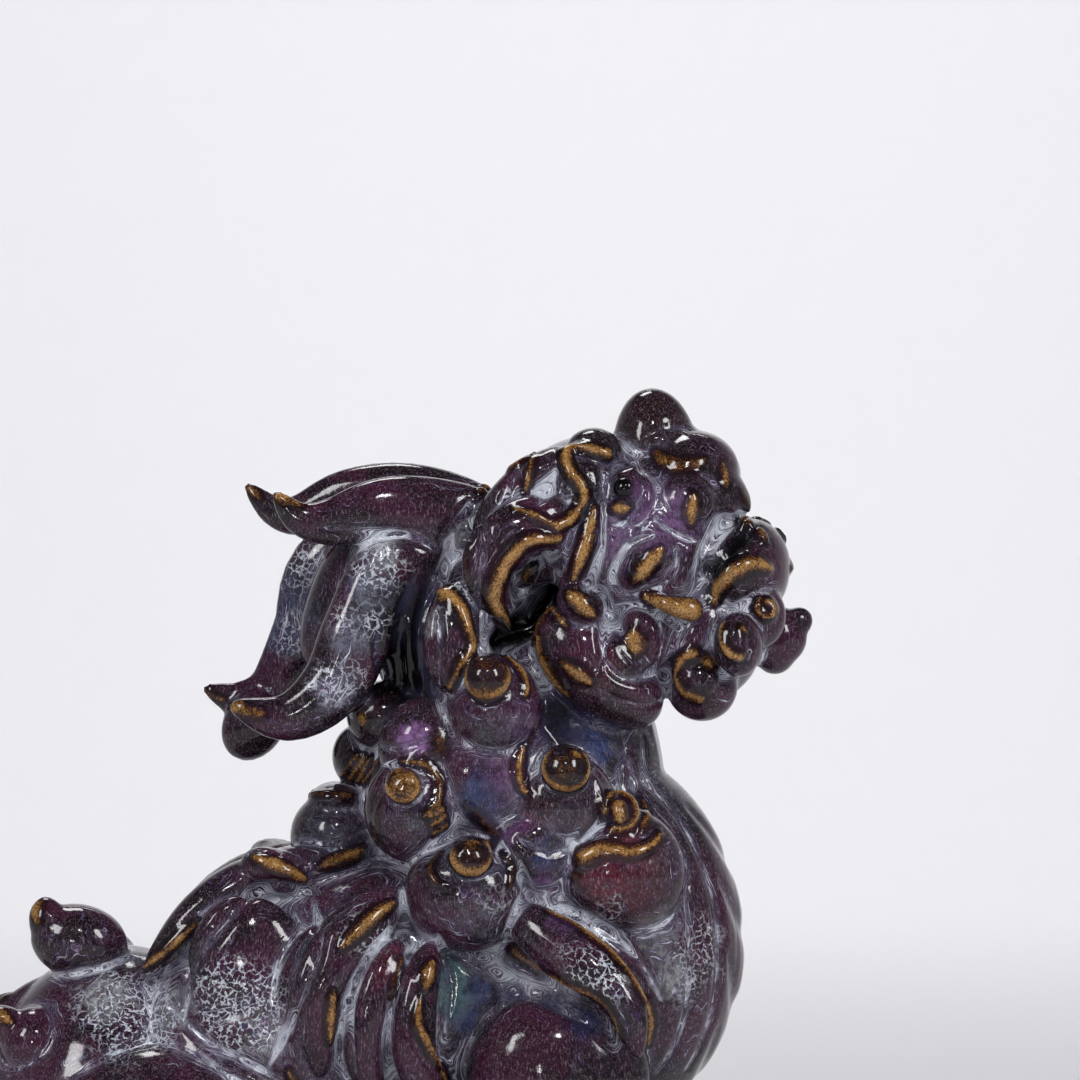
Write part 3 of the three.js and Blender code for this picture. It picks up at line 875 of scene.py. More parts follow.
@dataclass
class Skin:
    """One skin drawn over the pressed clay, with its ridges and grooves, and what the glaze needs to know.

    Each grain is a mesh size, and each soft a number of smoothing passes: the skin's own, those of the broad
    body that the flow is measured from, and those of the fine one that the crown is measured from. Of the
    faces, keep is the share that stays where the camera doesn't see: below the waist, beyond the middle, and
    not on the flames. The strokes are drawn from the eye through the drawing plane, or from afar along X.
    """

    grain: float = 0.7
    soft: int = 7
    body_grain: float = 2.6
    body_soft: int = 30
    fine_grain: float = 1.0
    fine_soft: int = 16
    faces: int = 196_000
    keep: float = 0.25
    waist: float = 105.0
    beyond: float = 12.0
    flames: float = 190.0
    eye: Point = (42.5, -1425.0, 245.0)
    drawing_plane: float = -25.0
    afar: float = 400.0
    ridge_share: float = 0.8
    foot_share: float = 0.1
    foot_gap: float = 1.2
    foot_width: float = 0.9

    def draw(self, clay: Clay, strokes: Iterable[Stroke], pools: Iterable[Pool]) -> bpy.types.Object:
        """Draws the skin.

        Args:
            clay: The pressed forms.
            strokes: The ridges and grooves to draw on it.
            pools: The places where the glaze differs, and where shade is painted into hollows.

        Returns:
            The finished piece, in metres.
        """
        heap = clay.heaped("heap")
        skin = self.remeshed(heap, self.grain, self.soft)
        marks = self.trace(skin, strokes)
        broad = self.remeshed(heap, self.body_grain, self.body_soft)
        kept = self.carve(skin, marks)
        fine = self.remeshed(skin, self.fine_grain, self.fine_soft)
        for name, values in kept.items():
            self.store(skin, name, values)
        piece = self.thinned(skin)
        self.measure(piece, broad, "flow")
        self.measure(piece, fine, "crown")
        self.tint(piece, pools)
        piece.data.transform(Matrix.Scale(MM, 4))
        piece.name = piece.data.name = "beast_in_glaze"
        for polygon in piece.data.polygons:
            polygon.use_smooth = True
        for spare in (heap, skin, broad, fine):
            bpy.data.meshes.remove(spare.data)
        return piece

    def settled(self, source: bpy.types.Object, name: str) -> bpy.types.Object:
        """Returns a copy of an object with its modifiers applied, and takes them off the object."""
        depsgraph = bpy.context.evaluated_depsgraph_get()
        data = bpy.data.meshes.new_from_object(source.evaluated_get(depsgraph))
        source.modifiers.clear()
        made = bpy.data.objects.new(name, data)
        bpy.context.scene.collection.objects.link(made)
        return made

    def remeshed(self, source: bpy.types.Object, grain: float, passes: int) -> bpy.types.Object:
        """Draws one even skin over an object.

        Args:
            source: The object, which is left as it is.
            grain: The skin's mesh size.
            passes: How often the skin is smoothed.

        Returns:
            The skin.
        """
        wrap = source.modifiers.new("wrap", "REMESH")
        wrap.mode = "VOXEL"
        wrap.voxel_size = grain
        relax = source.modifiers.new("relax", "SMOOTH")
        relax.factor = 0.5
        relax.iterations = passes
        return self.settled(source, "skin")

    def trace(self, skin: bpy.types.Object, strokes: Iterable[Stroke]) -> list[tuple[Stroke, np.ndarray]]:
        """Finds where the strokes and their mirror twins run on the skin.

        Args:
            skin: The skin to draw on.
            strokes: The strokes.

        Returns:
            Each stroke with its points on the skin.
        """
        tree = BVHTree.FromObject(skin, bpy.context.evaluated_depsgraph_get())
        turned = head_frame()
        back = turned.inverted()
        mirror = Matrix.Diagonal((1.0, -1.0, 1.0, 1.0))
        marks = []
        for stroke in strokes:
            found = []
            for a, b in stroke.path():
                start, target = self.sight(stroke.side, a, b)
                hit = tree.ray_cast(start, (target - start).normalized())[0]
                if hit is not None:
                    found.append(hit)
            if not found:
                LOG.warning("a stroke misses the skin at %s", stroke.stops[0])
                continue
            marks.append((stroke, np.array(found)))
            if not stroke.twin:
                continue
            across = turned @ mirror @ back if stroke.head else mirror
            twins = [tree.find_nearest(across @ hit)[0] for hit in found]
            marks.append((stroke, np.array(twins)))
        return marks

    def sight(self, side: Side, a: float, b: float) -> tuple[Vector, Vector]:
        """Returns the start of a sight line and the place that it aims at, for a stop of a stroke."""
        if side is Side.NEAR:
            return Vector(self.eye), Vector((a, self.drawing_plane, b))
        start = self.afar if side is Side.FRONT else -self.afar
        return Vector((start, a, b)), Vector((0.0, a, b))

    def column(self, items: bpy.types.bpy_prop_collection, name: str) -> np.ndarray:
        """Returns a vector of each item as the rows of an array."""
        values = np.empty(len(items) * 3)
        items.foreach_get(name, values)
        return values.reshape(-1, 3)

    def carve(self, skin: bpy.types.Object, marks: list[tuple[Stroke, np.ndarray]]) -> dict[str, np.ndarray]:
        """Raises the ridges and sinks the grooves. Beads come first, so that a ridge can lie on one.

        Args:
            skin: The skin, whose vertices are moved.
            marks: The strokes with their points on the skin.

        Returns:
            For each vertex, from 0 to 1, how golden it is, how near black (the pupils' black glaze, and
            painted shade in the mouth and the gap under the ear), and how near to gold.
        """
        count = len(skin.data.vertices)
        places = self.column(skin.data.vertices, "co")
        normals = self.column(skin.data.vertex_normals, "vector")
        bead, lift, sink = np.zeros(count), np.zeros(count), np.zeros(count)
        kept = {name: np.zeros(count) for name in ("gold", "ink", "calm")}
        for stroke, line in marks:
            reach = stroke.width * 2.2 + 2.5
            near = np.all((places > line.min(axis=0) - reach) & (places < line.max(axis=0) + reach), axis=1)
            index = np.flatnonzero(near)
            if not len(index):
                continue
            gap = np.full(len(index), 1e9)
            last = np.zeros(len(index))
            for step, spot in enumerate(line):
                found = ((places[index] - spot) ** 2).sum(axis=1)
                closer = found < gap
                gap[closer] = found[closer]
                last[closer] = step / max(1, len(line) - 1)
            gap = np.sqrt(gap)
            wide = stroke.width * stroke.swell(last)
            away = gap / wide
            ridge = stroke.rise > 0 and stroke.form is not BEAD
            full = self.ridge_share * stroke.rise if ridge else stroke.rise
            high = full * (0.45 + 0.55 * wide / stroke.width) * stroke.section(away)
            if stroke.rise > 0:
                pile = lift if ridge else bead
                pile[index] = np.maximum(pile[index], high)
                deep = self.foot_share * min(stroke.rise, 2.0)
                foot = deep * np.exp(-(((gap - wide - self.foot_gap) / self.foot_width) ** 2))
                sink[index] = np.minimum(sink[index], -foot)
            else:
                sink[index] = np.minimum(sink[index], high)
            shown = {
                "gold": stroke.gold * np.exp(-((away / 0.85) ** 2)),
                "ink": stroke.ink * np.exp(-((away / 0.95) ** 6)),
                "calm": stroke.gold * np.exp(-((gap / (wide + 0.9)) ** 4)),
            }
            for name, values in shown.items():
                kept[name][index] = np.maximum(kept[name][index], values)
        places += normals * (bead + lift + np.where(bead + lift > 0.15, 0.0, sink))[:, None]
        skin.data.vertices.foreach_set("co", places.ravel())
        skin.data.update()
        return kept

    def store(self, skin: bpy.types.Object, name: str, values: np.ndarray) -> None:
        """Keeps a number for each vertex as an attribute of the mesh."""
        kept = skin.data.attributes.new(name, "FLOAT", "POINT")
        kept.data.foreach_set("value", values.astype(np.float32))

    def thinned(self, skin: bpy.types.Object) -> bpy.types.Object:
        """Returns the skin with fewer faces: most are kept where the camera sees it.

        Args:
            skin: The dense skin.

        Returns:
            The thinned copy.
        """
        plain = skin.vertex_groups.new(name="plain")
        for share, wanted in ((1.0, False), (self.keep, True)):
            index = [v.index for v in skin.data.vertices if self.seen(v.co) is wanted]
            plain.add(index, share, "REPLACE")
        thin = skin.modifiers.new("thin", "DECIMATE")
        thin.ratio = min(1.0, self.faces / (2 * len(skin.data.polygons)))
        thin.use_collapse_triangulate = True
        thin.vertex_group = plain.name
        thin.vertex_group_factor = 1.0
        made = self.settled(skin, "thin")
        made.vertex_groups.clear()
        return made

    def seen(self, at: Vector) -> bool:
        """Returns whether a place lies on the near side of the upper figure, or on the crest's flames."""
        near = at.z > self.waist and at.y < self.beyond
        return near or (at.z > self.flames and at.x < 0)

    def measure(self, piece: bpy.types.Object, smoother: bpy.types.Object, name: str) -> None:
        """Stores how far the piece stands above a smoother skin, in millimetres.

        Args:
            piece: The piece to measure.
            smoother: The smoother skin.
            name: The attribute's name.
        """
        tree = BVHTree.FromObject(smoother, bpy.context.evaluated_depsgraph_get())
        heights = np.zeros(len(piece.data.vertices))
        for vertex in piece.data.vertices:
            spot, normal, _, _ = tree.find_nearest(vertex.co)
            heights[vertex.index] = (vertex.co - spot).dot(normal)
        self.store(piece, name, heights)

    def tint(self, piece: bpy.types.Object, pools: Iterable[Pool]) -> None:
        """Stores the pools: their colours, how far the glaze is crazed, and the hush of its hairs, whose
        highest values paint shade into the hollows.

        Args:
            piece: The piece to colour.
            pools: The pools.
        """
        tree = BVHTree.FromObject(piece, bpy.context.evaluated_depsgraph_get())
        count = len(piece.data.vertices)
        places = self.column(piece.data.vertices, "co")
        tones, weight, bare = np.zeros((count, 3)), np.zeros(count), np.ones(count)
        craze, hush_and_shade = np.zeros(count), np.zeros(count)
        for pool in pools:
            start, target = self.sight(Side.NEAR, *pool.at)
            hit = tree.ray_cast(start, (target - start).normalized())[0]
            if hit is None:
                LOG.warning("a pool misses the skin at %s", pool.at)
                continue
            for spot in (np.array(hit), np.array(hit) * (1, -1, 1))[: 1 + pool.twin]:
                near = pool.share * np.exp(-(((places - spot) ** 2).sum(axis=1) / pool.reach**2) ** 1.5)
                hush_and_shade += near * pool.hush_and_shade
                if pool.colour is None:
                    craze = np.maximum(craze, near)
                    continue
                tones += near[:, None] * pool.colour
                weight += near
                bare *= 1 - near
        kept = piece.data.attributes.new("tint", "FLOAT_COLOR", "POINT")
        tones /= np.maximum(weight, 1e-6)[:, None]
        kept.data.foreach_set("color", np.column_stack([tones, 1 - bare]).ravel().astype(np.float32))
        self.store(piece, "web", craze)
        self.store(piece, "hush_and_shade", hush_and_shade)


class Web:
    """Lays nodes in one tree, and links each to what feeds it as it is laid."""

    def __init__(self, tree: bpy.types.NodeTree) -> None:
        """Starts on a tree."""
        self.tree = tree

    def node(
        self, kind: str, feeds: dict[str | int, object] | None = None, **settings: object
    ) -> bpy.types.Node:
        """Lays a node.

        Args:
            kind: Its type.
            feeds: What each of its inputs gets: another node's socket, or a plain value.
            settings: Its own settings.

        Returns:
            The node.
        """
        made = self.tree.nodes.new(kind)
        for name, value in settings.items():
            setattr(made, name, value)
        for socket, value in (feeds or {}).items():
            if isinstance(value, Socket):
                self.tree.links.new(value, made.inputs[socket])
            else:
                made.inputs[socket].default_value = value
        return made

    def math(self, operation: str, *values: object) -> Socket:
        """Works out a number from others, which are sockets or plain values."""
        return self.node("ShaderNodeMath", dict(enumerate(values)), operation=operation).outputs[0]

    def step(self, value: object, low: float, high: float, top: float = 1.0) -> Socket:
        """Eases from 0 at low to top at high."""
        feeds = {"Value": value, "From Min": low, "From Max": high, "To Max": top}
        return self.node("ShaderNodeMapRange", feeds, interpolation_type="SMOOTHSTEP").outputs[0]

    def mix(self, share: object, under: object, over: object) -> Socket:
        """Lays one colour over another by a share."""
        tones = [(*tone, 1.0) if isinstance(tone, tuple) else tone for tone in (under, over)]
        return self.node("ShaderNodeMix", {0: share, 6: tones[0], 7: tones[1]}, data_type="RGBA").outputs[2]

    def times(self, *values: object) -> Socket:
        """Multiplies two numbers."""
        return self.math("MULTIPLY", *values)

    def grown(self, value: object, factor: object, more: object) -> Socket:
        """Multiplies a number by a factor and adds another."""
        return self.math("MULTIPLY_ADD", value, factor, more)

    def noise(
        self, place: object, scale: float, detail: float = 2.0, rough: float = 0.5, bent: float = 0.0
    ) -> Socket:
        """Lays a cloud of noise."""
        feeds = {"Vector": place, "Scale": scale, "Detail": detail, "Roughness": rough, "Distortion": bent}
        return self.node("ShaderNodeTexNoise", feeds).outputs[0]

    def scaled(self, vector: object, scale: object) -> Socket:
        """Scales a vector."""
        return self.node("ShaderNodeVectorMath", {0: vector, "Scale": scale}, operation="SCALE").outputs[0]

    def attribute(self, name: str) -> Socket:
        """Reads a number that the mesh keeps."""
        return self.node("ShaderNodeAttribute", attribute_name=name).outputs["Fac"]


def new_group(
    name: str, numbers: dict[str, float], output: str
) -> tuple[Web, bpy.types.bpy_prop_collection, Socket]:
    """Starts a node group that takes a place and some numbers, and has one output.

    Args:
        name: The group's name.
        numbers: The plain value of each number that it takes.
        output: The output's name.

    Returns:
        A web on the group, the sockets of what it is given, and the socket of its output.
    """
    group = bpy.data.node_groups.new(name, "ShaderNodeTree")
    group.interface.new_socket("Place", in_out="INPUT", socket_type="NodeSocketVector")
    for label, value in numbers.items():
        socket = group.interface.new_socket(label, in_out="INPUT", socket_type="NodeSocketFloat")
        socket.default_value = value
    group.interface.new_socket(output, in_out="OUTPUT", socket_type="NodeSocketFloat")
    web = Web(group)
    return web, web.node("NodeGroupInput").outputs, web.node("NodeGroupOutput").inputs[0]


@dataclass(frozen=True)
class Cloud:
    """A mask of noise: the noise's own numbers, where the mask starts and is full, and how full it is."""

    scale: float
    detail: float
    rough: float
    low: float
    high: float
    top: float = 1.0

    def mask(self, web: Web, place: object) -> Socket:
        """Lays the mask."""
        return web.step(web.noise(place, self.scale, self.detail, self.rough), self.low, self.high, self.top)


@dataclass(frozen=True)
class Hairs:
    """Fine strands that run along the levels of the relief, as the glaze flowed."""

    name: str = "glaze_strands"

    def group(self) -> bpy.types.NodeTree:
        """Builds the group: a cloud drawn out into strands, from the place and its level."""
        web, given, put = new_group(self.name, {"Level": 0.0, "Across": 3.0, "Along": 0.3}, "Strand")
        feeds = {
            "Vector": web.scaled(given["Place"], given["Along"]),
            "W": web.times(given["Level"], given["Across"]),
            "Scale": 1.0,
            "Detail": 1.5,
            "Roughness": 0.6,
        }
        cloud = web.node("ShaderNodeTexNoise", feeds, noise_dimensions="4D").outputs[0]
        web.tree.links.new(cloud, put)
        return web.tree


@dataclass(frozen=True)
class Crazing:
    """A web of pale lines where the glaze drew together."""

    name: str = "glaze_web"
    swell: Cloud = Cloud(0.8, 2.0, 0.5, 0.34, 0.66, 2.0)
    bend: Colour = (2.4, 2.4, 2.4)

    def group(self) -> bpy.types.NodeTree:
        """Builds the group: a mask of lines, from the place and the size of the meshes between them."""
        web, given, put = new_group(self.name, {"Mesh": 0.4, "Line": 0.1}, "Lines")
        feeds = {"Vector": given["Place"], "Scale": 0.45, "Detail": 3.5, "Roughness": 0.62}
        bend = web.node("ShaderNodeTexNoise", feeds).outputs["Color"]
        feeds = {0: bend, 1: self.bend, 2: given["Place"]}
        bent = web.node("ShaderNodeVectorMath", feeds, operation="MULTIPLY_ADD").outputs[0]
        feeds = {"Vector": bent, "Scale": given["Mesh"]}
        cells = web.node("ShaderNodeTexVoronoi", feeds, feature="DISTANCE_TO_EDGE").outputs[0]
        wide = web.times(given["Line"], self.swell.mask(web, given["Place"]))
        web.tree.links.new(web.step(cells, wide, web.times(wide, 0.25)), put)
        return web.tree


@dataclass(frozen=True)
class Glaze:
    """Dark aubergine glaze with pale hairs, golden brown on the ridges and pale in the grooves. Near black
    lies on the pupils as black glaze, and as painted shade in the mouth, the gap under the ear and the
    hollows.

    The strands' sizes say how fine they are across the levels of the relief, and how long along them.
    """

    name: str = "flambe_glaze"
    dark: Colour = (0.007, 0.004, 0.006)
    plum: Colour = (0.038, 0.007, 0.022)
    deep: Colour = (0.042, 0.020, 0.066)
    haze: Colour = (0.046, 0.048, 0.100)
    fleck: Colour = (0.210, 0.125, 0.190)
    thread: Colour = (0.38, 0.28, 0.36)
    violet: Colour = (0.180, 0.095, 0.195)
    mist: Colour = (0.110, 0.120, 0.165)
    frost: Colour = (0.25, 0.30, 0.41)
    hair: Colour = (0.78, 0.80, 0.84)
    rim: Colour = (0.008, 0.004, 0.004)
    rust: Colour = (0.105, 0.038, 0.009)
    gold: Colour = (0.46, 0.250, 0.085)
    # Near black: the pupils' black glaze, and painted shade in the mouth, the gaps and the hollows.
    ink: Colour = (0.0015, 0.0015, 0.002)
    roughness: float = 0.09
    shine: float = 0.38
    ripple: float = 0.13
    ripple_height: float = 0.0005
    plum_clouds: Cloud = Cloud(0.06, 4.0, 0.6, 0.40, 0.62)
    pool_shade: Cloud = Cloud(0.5, 4.0, 0.65, 0.42, 0.62, 0.6)
    groove_veil: Cloud = Cloud(0.13, 3.0, 0.5, 0.36, 0.62)
    flecks: Cloud = Cloud(2.3, 3.0, 0.75, 0.56, 0.74, 0.62)
    patches: Cloud = Cloud(0.09, 3.0, 0.6, 0.34, 0.66)
    warmth: Cloud = Cloud(0.11, 2.0, 0.5, 0.42, 0.62)
    net_grain: Cloud = Cloud(3.1, 2.0, 0.7, 0.30, 0.60)
    specks: Cloud = Cloud(2.4, 3.0, 0.8, 0.50, 0.40)
    strand_sizes: tuple[Spot, ...] = ((3.2, 0.07), (9.0, 0.15), (24.0, 0.34))
    silk_size: Spot = (46.0, 0.5)
    mesh: float = 0.50
    line: float = 0.085

    def material(self) -> bpy.types.Material:
        """Builds the material."""
        made = bpy.data.materials.new(self.name)
        made.use_nodes = True
        web = Web(made.node_tree)
        shader = made.node_tree.nodes["Principled BSDF"]
        shader.inputs["Roughness"].default_value = self.roughness
        shader.inputs["IOR"].default_value = 1.5
        shader.inputs["Specular IOR Level"].default_value = self.shine
        place = web.scaled(web.node("ShaderNodeTexCoord").outputs["Object"], 1 / MM)
        valley = web.step(web.grown(web.attribute("flow"), 0.22, web.attribute("crown")), 0.25, -0.85)
        colour = self.body(web, place, valley)
        colour = self.marbled(web, place, valley, colour)
        colour = self.broken(web, place, colour)
        # Painted shade: where the hush passes 1.1, the hollows behind the neck and under the ruff turn near
        # black. The mouth and the gap under the ear take the same near black as painted shade, and the pupils
        # take it as black glaze.
        painted_hollow_shade = web.step(web.attribute("hush_and_shade"), 1.10, 1.90)
        colour = web.mix(web.math("MAXIMUM", web.attribute("ink"), painted_hollow_shade), colour, self.ink)
        made.node_tree.links.new(colour, shader.inputs["Base Color"])
        ripple = web.noise(place, 0.28, 5.0, 0.58)
        feeds = {"Height": ripple, "Strength": self.ripple, "Distance": self.ripple_height}
        bump = web.node("ShaderNodeBump", feeds)
        made.node_tree.links.new(bump.outputs[0], shader.inputs["Normal"])
        return made

    def body(self, web: Web, place: object, valley: object) -> Socket:
        """Returns the glaze's own colour: aubergine, plum clouds, pools of colour and a haze in the grooves.

        Args:
            web: The material's web.
            place: The place in millimetres.
            valley: How low the spot lies, from 0 to 1.
        """
        colour = web.mix(self.plum_clouds.mask(web, place), self.dark, self.plum)
        tint = web.node("ShaderNodeAttribute", attribute_name="tint").outputs
        torn = web.grown(web.noise(place, 0.3, 4.0, 0.65), 1.5, tint["Alpha"])
        pooled = web.mix(self.pool_shade.mask(web, place), tint["Color"], self.dark)
        colour = web.mix(web.step(torn, 0.95, 1.65), colour, pooled)
        veil = web.times(self.groove_veil.mask(web, place), valley)
        colour = web.mix(web.times(veil, 0.75), colour, self.haze)
        return web.mix(self.flecks.mask(web, place), colour, self.fleck)

    def marbled(self, web: Web, place: object, valley: object, colour: object) -> Socket:
        """Returns the colour with pale strands over it: a mist first, then white hairs and the crazed webs.

        Args:
            web: The material's web.
            place: The place in millimetres.
            valley: How low the spot lies, from 0 to 1.
            colour: The colour under it.
        """
        relief = web.grown(web.attribute("crown"), 1.5, web.attribute("flow"))
        level = web.grown(web.noise(place, 0.07), 3.0, relief)
        strands = Hairs().group()
        layers = [self.strand(web, strands, place, level, *size) for size in self.strand_sizes]
        summed = web.math("ADD", web.math("ADD", layers[0], layers[1]), layers[2])
        strand = web.grown(summed, 1.7, -2.55)
        patch = self.patches.mask(web, place)
        bare = web.step(web.attribute("calm"), 0.6, 0.1)
        lush = web.times(valley, web.grown(patch, 0.45, 0.42))
        cover = web.times(web.grown(patch, 0.04, lush), bare)
        hushed = web.grown(web.attribute("hush_and_shade"), -0.8, strand)
        depth = web.math("SUBTRACT", web.math("ADD", cover, hushed), 0.09)
        colour = web.mix(web.step(depth, 0.14, 0.46, 0.9), colour, self.deep)
        misty = web.mix(self.warmth.mask(web, place), self.mist, self.violet)
        colour = web.mix(web.step(depth, 0.34, 0.74, 0.95), colour, misty)
        silken = self.strand(web, strands, place, level, *self.silk_size)
        fine = web.step(silken, 0.52, 0.72)
        white = web.mix(web.step(silken, 0.38, 0.58), self.frost, self.hair)
        clear = web.times(bare, web.step(web.attribute("hush_and_shade"), 0.95, 0.2))
        silk = web.times(fine, web.grown(cover, 0.85, 0.03))
        pale = web.math("MAXIMUM", web.step(depth, 0.46, 0.84, 0.95), web.times(silk, clear))
        feeds = {"Place": place, "Mesh": self.mesh, "Line": self.line}
        craze = web.node("ShaderNodeGroup", feeds, node_tree=Crazing().group())
        spread = web.attribute("web")
        frayed = web.step(web.grown(patch, 0.35, spread), 0.35, 0.9)
        net = web.times(web.times(craze.outputs[0], frayed), bare)
        drawn = web.node("ShaderNodeVectorMath", {0: place, 1: (2.5, 2.5, 0.65)}, operation="MULTIPLY")
        thread = web.noise(drawn.outputs[0], 1.0, 3.0, 0.65, 0.5)
        worn = web.times(web.step(thread, 0.54, 0.68, 0.36), clear)
        colour = web.mix(worn, colour, self.thread)
        net = web.times(net, web.grown(self.net_grain.mask(web, place), 0.5, 0.5))
        return web.mix(web.math("MAXIMUM", pale, net), colour, white)

    def strand(
        self, web: Web, group: bpy.types.NodeTree, place: object, level: object, across: float, along: float
    ) -> Socket:
        """Lays the strand group once, so fine across the levels and so long along them."""
        feeds = {"Place": place, "Level": level, "Across": across, "Along": along}
        return web.node("ShaderNodeGroup", feeds, node_tree=group).outputs[0]

    def broken(self, web: Web, place: object, colour: object) -> Socket:
        """Returns the colour with the thin places laid over it: a dark rim, then rust, then speckled gold.

        Args:
            web: The material's web.
            place: The place in millimetres.
            colour: The colour under it.
        """
        thin = web.attribute("gold")
        broad = web.math("SUBTRACT", web.noise(place, 0.22), 0.5)
        fine = web.math("SUBTRACT", web.noise(place, 1.6, 4.0, 0.75), 0.5)
        uneven = web.grown(broad, 0.9, web.grown(fine, 1.7, thin))
        near = web.step(web.attribute("calm"), 0.10, 0.55)
        colour = web.mix(web.times(near, 0.65), colour, self.rim)
        held = web.step(thin, 0.12, 0.35)
        colour = web.mix(web.times(web.step(uneven, 0.25, 0.80), held), colour, self.rust)
        colour = web.mix(web.times(web.step(uneven, 0.50, 1.12), held), colour, self.gold)
        dots = web.times(self.specks.mask(web, place), web.step(thin, 0.2, 0.5))
        return web.mix(web.times(dots, 0.8), colour, self.rim)


@dataclass
class Studio:
    """A round pale floor that curves up all around, soft lamps and the camera."""

    distance: float = 1.4
    frame_width: float = 0.27
    sensor: float = 36.0
    aim: Point = (0.0425, -0.025, 0.245)
    flat: float = 2.3
    bend: float = 0.8
    wall: float = 2.8

    def build(self) -> None:
        """Adds the floor, the lamps and the camera."""
        self.floor()
        self.air()
        self.lamps()
        self.camera()

    def floor(self) -> None:
        """Spins the floor and its wall."""
        bowl = bmesh.new()
        profile = [(0.0, 0.0), (self.flat * 0.5, 0.0), (self.flat, 0.0)]
        for i in range(1, 13):
            angle = math.pi / 2 * i / 12
            profile.append((self.flat + self.bend * math.sin(angle), self.bend * (1 - math.cos(angle))))
        profile.append((self.flat + self.bend, self.wall))
        spots = [bowl.verts.new((x, 0.0, z)) for x, z in profile]
        edges = [bowl.edges.new(pair) for pair in zip(spots, spots[1:])]
        bmesh.ops.spin(
            bowl,
            geom=[*spots, *edges],
            cent=(0, 0, 0),
            axis=(0, 0, 1),
            dvec=(0, 0, 0),
            angle=2 * math.pi,
            steps=96,
            use_merge=True,
        )
        bmesh.ops.remove_doubles(bowl, verts=bowl.verts, dist=1e-5)
        bmesh.ops.recalc_face_normals(bowl, faces=bowl.faces)
        data = bpy.data.meshes.new("studio_floor")
        bowl.to_mesh(data)
        bowl.free()
        for polygon in data.polygons:
            polygon.use_smooth = True
        floor = bpy.data.objects.new("studio_floor", data)
        bpy.context.scene.collection.objects.link(floor)
        paper = bpy.data.materials.new("pale_paper")
        paper.use_nodes = True
        shader = paper.node_tree.nodes["Principled BSDF"]
        shader.inputs["Base Color"].default_value = (0.735, 0.733, 0.755, 1)
        shader.inputs["Roughness"].default_value = 1.0
        shader.inputs["Specular IOR Level"].default_value = 0.0
        data.materials.append(paper)

    def air(self) -> None:
        """Adds a dim even light from all around."""
        world = bpy.data.worlds.new("studio_air")
        world.use_nodes = True
        sky = world.node_tree.nodes["Background"]
        sky.inputs["Color"].default_value = (0.9, 0.92, 1.0, 1)
        sky.inputs["Strength"].default_value = 0.05
        bpy.context.scene.world = world

    def lamps(self) -> None:
        """Adds the lamps: small ones for the figure, and one for the wall behind it."""
        beast = (0.02, 0.0, 0.2)
        self.lamp("key_right", (1.0, -1.0, 1.0), (0.30, 0.68), 12.0, beast)
        self.lamp("key_left", (-0.95, -0.95, 0.95), (0.26, 0.58), 7.4, beast)
        self.lamp("front_high", (0.05, -1.25, 1.15), (0.12, 0.12), 3.0, beast)
        self.lamp("front_low", (-0.35, -1.55, 0.25), (0.06, 0.06), 0.8, beast)
        self.lamp("top_back", (-0.2, 0.7, 1.5), (0.5, 0.3), 5.5, beast)
        self.lamp("wall", (0.08, 1.9, 2.1), (1.4, 0.7), 38.4, (0.08, 3.1, 0.7))

    def lamp(self, name: str, place: Point, size: Spot, power: float, target: Point) -> None:
        """Adds a soft lamp.

        Args:
            name: The lamp's name.
            place: Where it stands, in metres.
            size: How wide and tall its face is, in metres.
            power: Its power in watts.
            target: What it looks at, in metres.
        """
        data = bpy.data.lights.new(name, "AREA")
        data.shape = "RECTANGLE"
        data.size, data.size_y = size
        data.energy = power
        lamp = bpy.data.objects.new(name, data)
        lamp.location = place
        lamp.rotation_euler = (Vector(target) - Vector(place)).to_track_quat("-Z", "Y").to_euler()
        lamp.visible_camera = False
        bpy.context.scene.collection.objects.link(lamp)

    def camera(self) -> None:
        """Adds the camera, which looks straight along +Y at the raised head."""
        data = bpy.data.cameras.new("camera")
        data.sensor_width = self.sensor
        data.lens = self.sensor * self.distance / self.frame_width
        camera = bpy.data.objects.new("camera", data)
        camera.location = (self.aim[0], self.aim[1] - self.distance, self.aim[2])
        camera.rotation_euler = (math.pi / 2, 0.0, 0.0)
        bpy.context.scene.collection.objects.link(camera)
        bpy.context.scene.camera = camera
        bpy.context.scene.view_settings.view_transform = "Standard"


Part = Trunk | Limbs | Head | Ears | Crest | Mane | Locks | Tail


